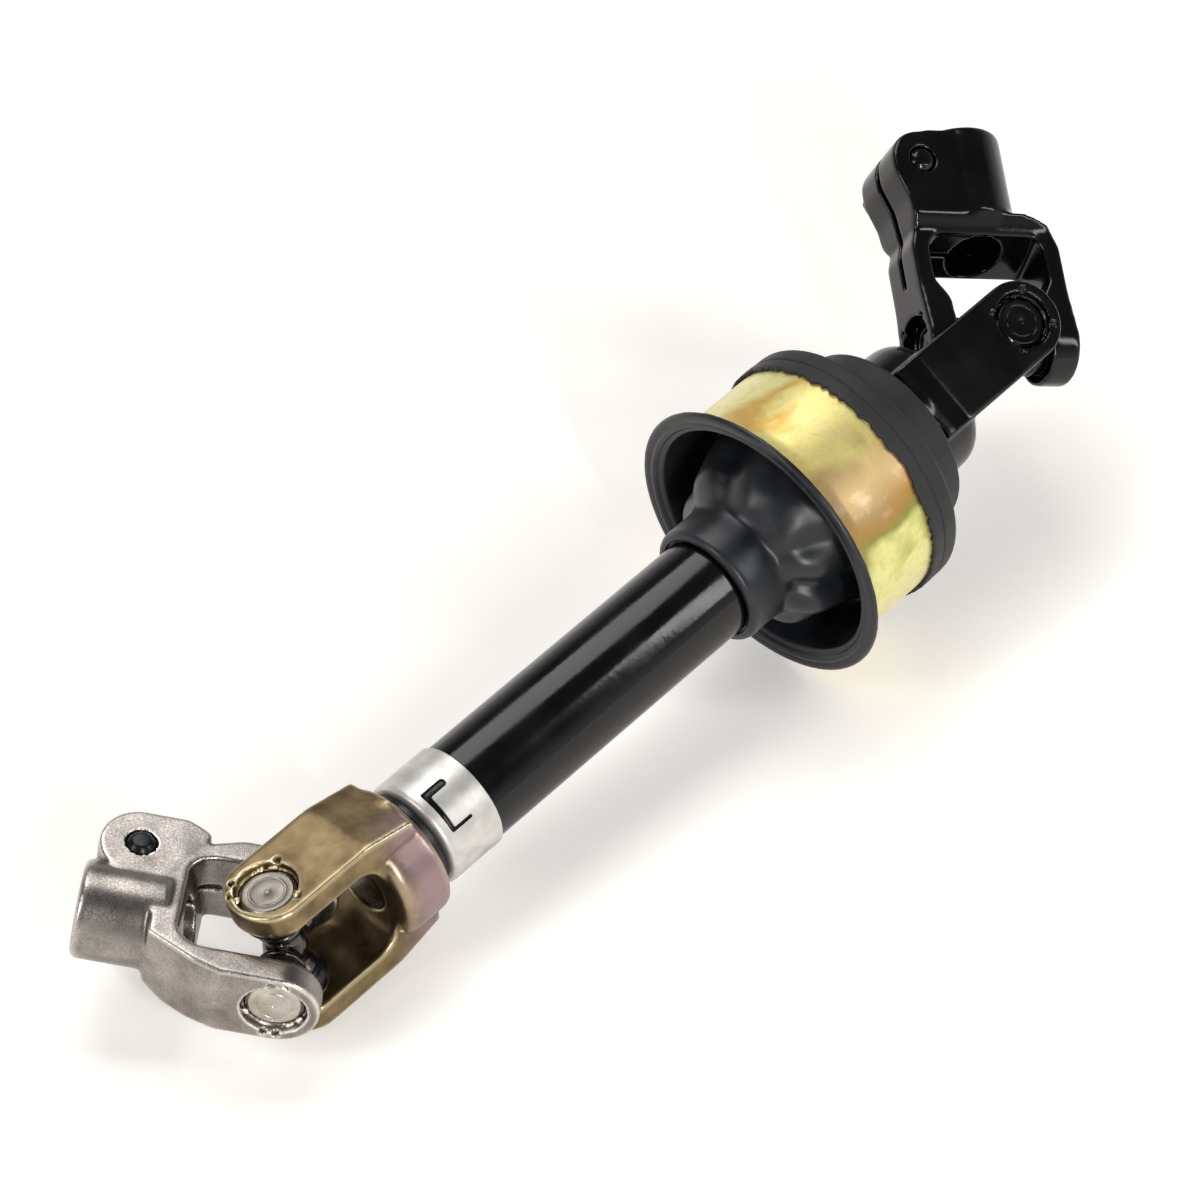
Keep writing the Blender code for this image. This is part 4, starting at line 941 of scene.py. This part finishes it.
# angle at the collar, angle at the pleat, depth in mm, half width in degrees
VALLEYS = ((-98, -78, 4.6, 10), (-130, -114, 1.8, 9), (168, 152, 3.0, 12), (118, 108, 3.0, 15),
           (60, 50, 3.0, 16), (0, 10, 3.0, 17), (-48, -52, 2.6, 14))


def fold(angle, share):
    """How far the cone moves in or out, in mm; share runs from pleat to collar."""
    swell = math.sin(math.pi * min(max(share, 0.0), 1.0)) ** 0.7
    move = 1.3
    for at_collar, at_pleat, depth, width in VALLEYS:
        middle = at_pleat + (at_collar - at_pleat) * share
        off = (angle - middle + 180) % 360 - 180
        move -= depth * math.exp(-(off / width) ** 2)
    spot = Vector((math.cos(math.radians(angle)), math.sin(math.radians(angle)), share * 1.4))
    move += 2.0 * noise.noise(spot * 1.7) + 0.35 * noise.noise(spot * 3.6 + Vector((3, 1, 7)))
    return move * swell


def boot(name, turns=240):
    """Sweep the profile round the tube, fold the cone and thicken the sheet."""
    bm = bmesh.new()
    rows = []
    profile = LIP + CONE + COLLAR
    for index, (radius, station) in enumerate(profile):
        share = (index - len(LIP)) / (len(CONE) - 1)
        row = []
        for step in range(turns):
            angle = 360 * step / turns
            reach, along = radius, station
            if 0 <= share <= 1:
                push = fold(angle, share)
                reach += push
                along -= push * 0.45
            if index == 0:
                # the lip's outer edge was trimmed by hand
                along += 0.35 * abs(noise.noise(Vector((step * 0.9, 2, 5))))
                reach += 0.25 * noise.noise(Vector((step * 0.7, 8, 1)))
            turn = math.radians(angle)
            row.append(bm.verts.new((reach * math.cos(turn) * MM, reach * math.sin(turn) * MM, along * MM)))
        rows.append(row)
    for first, second in zip(rows, rows[1:]):
        for step in range(turns):
            bm.faces.new((first[step - 1], first[step], second[step], second[step - 1]))
    shape = shape_from(bm, name)
    wall = shape.modifiers.new("Wall", 'SOLIDIFY')
    wall.thickness = 0.8 * MM
    wall.offset = 0
    soft = shape.modifiers.new("Soft", 'SUBSURF')
    soft.levels = 1
    soft.render_levels = 1
    return bake(shape)


piece(boot("cover_boot_moulded"), SHAFT, BOOT, "hole_cover", ["cover_boot"], 60)

# %% [markdown]
# ## The rear cover
# A firm rubber cap snaps over the ring's back edge. Its moulding flash was
# torn off by hand, so the front edge is ragged; behind it run a bead, a
# parting line and a smaller stepped boss that seals on the tube. It is turned
# like the rest, and noise at three sizes then moves the points of its edge.

# %% Rear cover
REAR = rounded([(40.6, 223.4, 0), (41.5, 223.3, 0.3), (41.7, 224.4, 0.5), (41.7, 227.6, 0.5),
                (41.25, 228.0, 0.15), (41.25, 228.25, 0.15), (41.6, 228.6, 0.4), (41.5, 234.2, 2.2),
                (33.4, 236.3, 1.2), (30.5, 237.4, 1.6), (30.5, 249.0, 1.6), (18.0, 249.0, 0.4),
                (18.0, 238.0, 0.2), (17.4, 238.0, 0.2), (17.4, 248.0, 0.2), (29.4, 248.0, 1.0),
                (29.4, 237.0, 1.0), (33.0, 235.4, 1.0), (40.6, 233.7, 0.8)], 4)
TORN_BELOW = 224.5
rear = turned("rear_cover_moulded", REAR, 288)
for vertex in rear.data.vertices:
    x, y, z = vertex.co / MM
    if z < TORN_BELOW:
        turn = math.atan2(y, x)
        spot = Vector((math.cos(turn), math.sin(turn), 0.3))
        ragged = noise.noise(spot * 22) * 1.1 + noise.noise(spot * 55) * 0.6 + noise.noise(spot * 5) * 0.5
        vertex.co.z += ragged * MM
piece(rear, SHAFT, RUBBER, "hole_cover", ["rear_cover"], 45)

# %% [markdown]
# ## Studio
# The part lies on a plain white sweep under soft lamps. One narrow soft box
# near the camera draws the long highlight on the tube, a wide one overhead
# lights the flats, and the world fills the shadows. The world is white round
# the horizon and dim overhead, as a studio is, so that black paint stays
# black. Camera, glossy and clear rays see the floor as plain white.

# %% Floor, world and lamps
def sweep_material():
    material = bpy.data.materials.new("white_sweep")
    material.use_nodes = True
    tree = material.node_tree
    tree.nodes.clear()
    matte = add(tree, "ShaderNodeBsdfDiffuse", {"Color": "#F5F1EB"})
    camera_ray = add(tree, "ShaderNodeLightPath", {}, "Is Camera Ray")
    glossy_ray = add(tree, "ShaderNodeLightPath", {}, "Is Glossy Ray")
    clear_ray = add(tree, "ShaderNodeLightPath", {}, "Is Transmission Ray")
    seen = add(tree, MATHS, {0: camera_ray, 1: glossy_ray}, operation='MAXIMUM')
    seen = add(tree, MATHS, {0: seen, 1: clear_ray}, operation='MAXIMUM')
    # far from the lamps the sweep is lifted to white as well
    spot = add(tree, "ShaderNodeTexCoord", {}, "Object")
    distance = add(tree, "ShaderNodeVectorMath", {0: spot}, "Value", operation='LENGTH')
    lift = add(tree, RANGE, {0: distance, 1: 0.4, 2: 1.6, 3: 0.24, 4: 0.85})
    glow = add(tree, MATHS, {0: seen, 1: lift}, operation='MULTIPLY')
    glow = add(tree, "ShaderNodeEmission", {"Color": "#FFFFFF", "Strength": glow})
    both = add(tree, "ShaderNodeAddShader", {0: matte, 1: glow})
    tree.links.new(both, tree.nodes.new("ShaderNodeOutputMaterial").inputs["Surface"])
    return material


REACH = 4000
floor = slab("floor", [(-REACH, -REACH), (REACH, -REACH), (REACH, REACH), (-REACH, REACH)], -12, -0.05)
floor.data.materials.append(sweep_material())
world = bpy.data.worlds.new("world")
world.use_nodes = True
bpy.context.scene.world = world
world.node_tree.nodes.clear()
direction = add(world.node_tree, "ShaderNodeTexCoord", {}, "Generated")
height = add(world.node_tree, "ShaderNodeSeparateXYZ", {"Vector": direction}, "Z")
strength = add(world.node_tree, RANGE, {0: height, 1: 0.12, 2: 0.50, 3: 0.80, 4: 0.12})
sky = add(world.node_tree, "ShaderNodeBackground", {"Color": "#FFFFFF", "Strength": strength})
world.node_tree.links.new(sky, world.node_tree.nodes.new("ShaderNodeOutputWorld").inputs["Surface"])


MIDDLE = Vector((0, 0, 0.04))


def soft_box(name, toward, distance, width, height, power):
    """A white rectangular lamp, in metres and watts, that looks at the part's middle."""
    data = bpy.data.lights.new(name, 'AREA')
    data.shape = 'RECTANGLE'
    data.size = width
    data.size_y = height
    data.energy = power
    lamp = bpy.data.objects.new(name, data)
    bpy.context.scene.collection.objects.link(lamp)
    away = Vector(toward).normalized()
    lamp.location = away * distance + MIDDLE
    lamp.rotation_euler = away.to_track_quat('Z', 'Y').to_euler()


soft_box("key", -FORWARD + RIGHT * 0.30 - UP * 0.26, 1.3, 0.04, 0.60, 8)
soft_box("overhead", (0.25, 0.45, 1.0), 1.4, 0.9, 0.9, 10)
soft_box("left", (-1.0, 0.25, 0.75), 1.3, 0.35, 0.8, 5)
soft_box("right", (0.6, -1.0, 0.8), 1.3, 0.20, 0.7, 4)
# Standard shows each colour as it is written
bpy.context.scene.view_settings.view_transform = 'Standard'
print("lamps", len(bpy.data.lights))
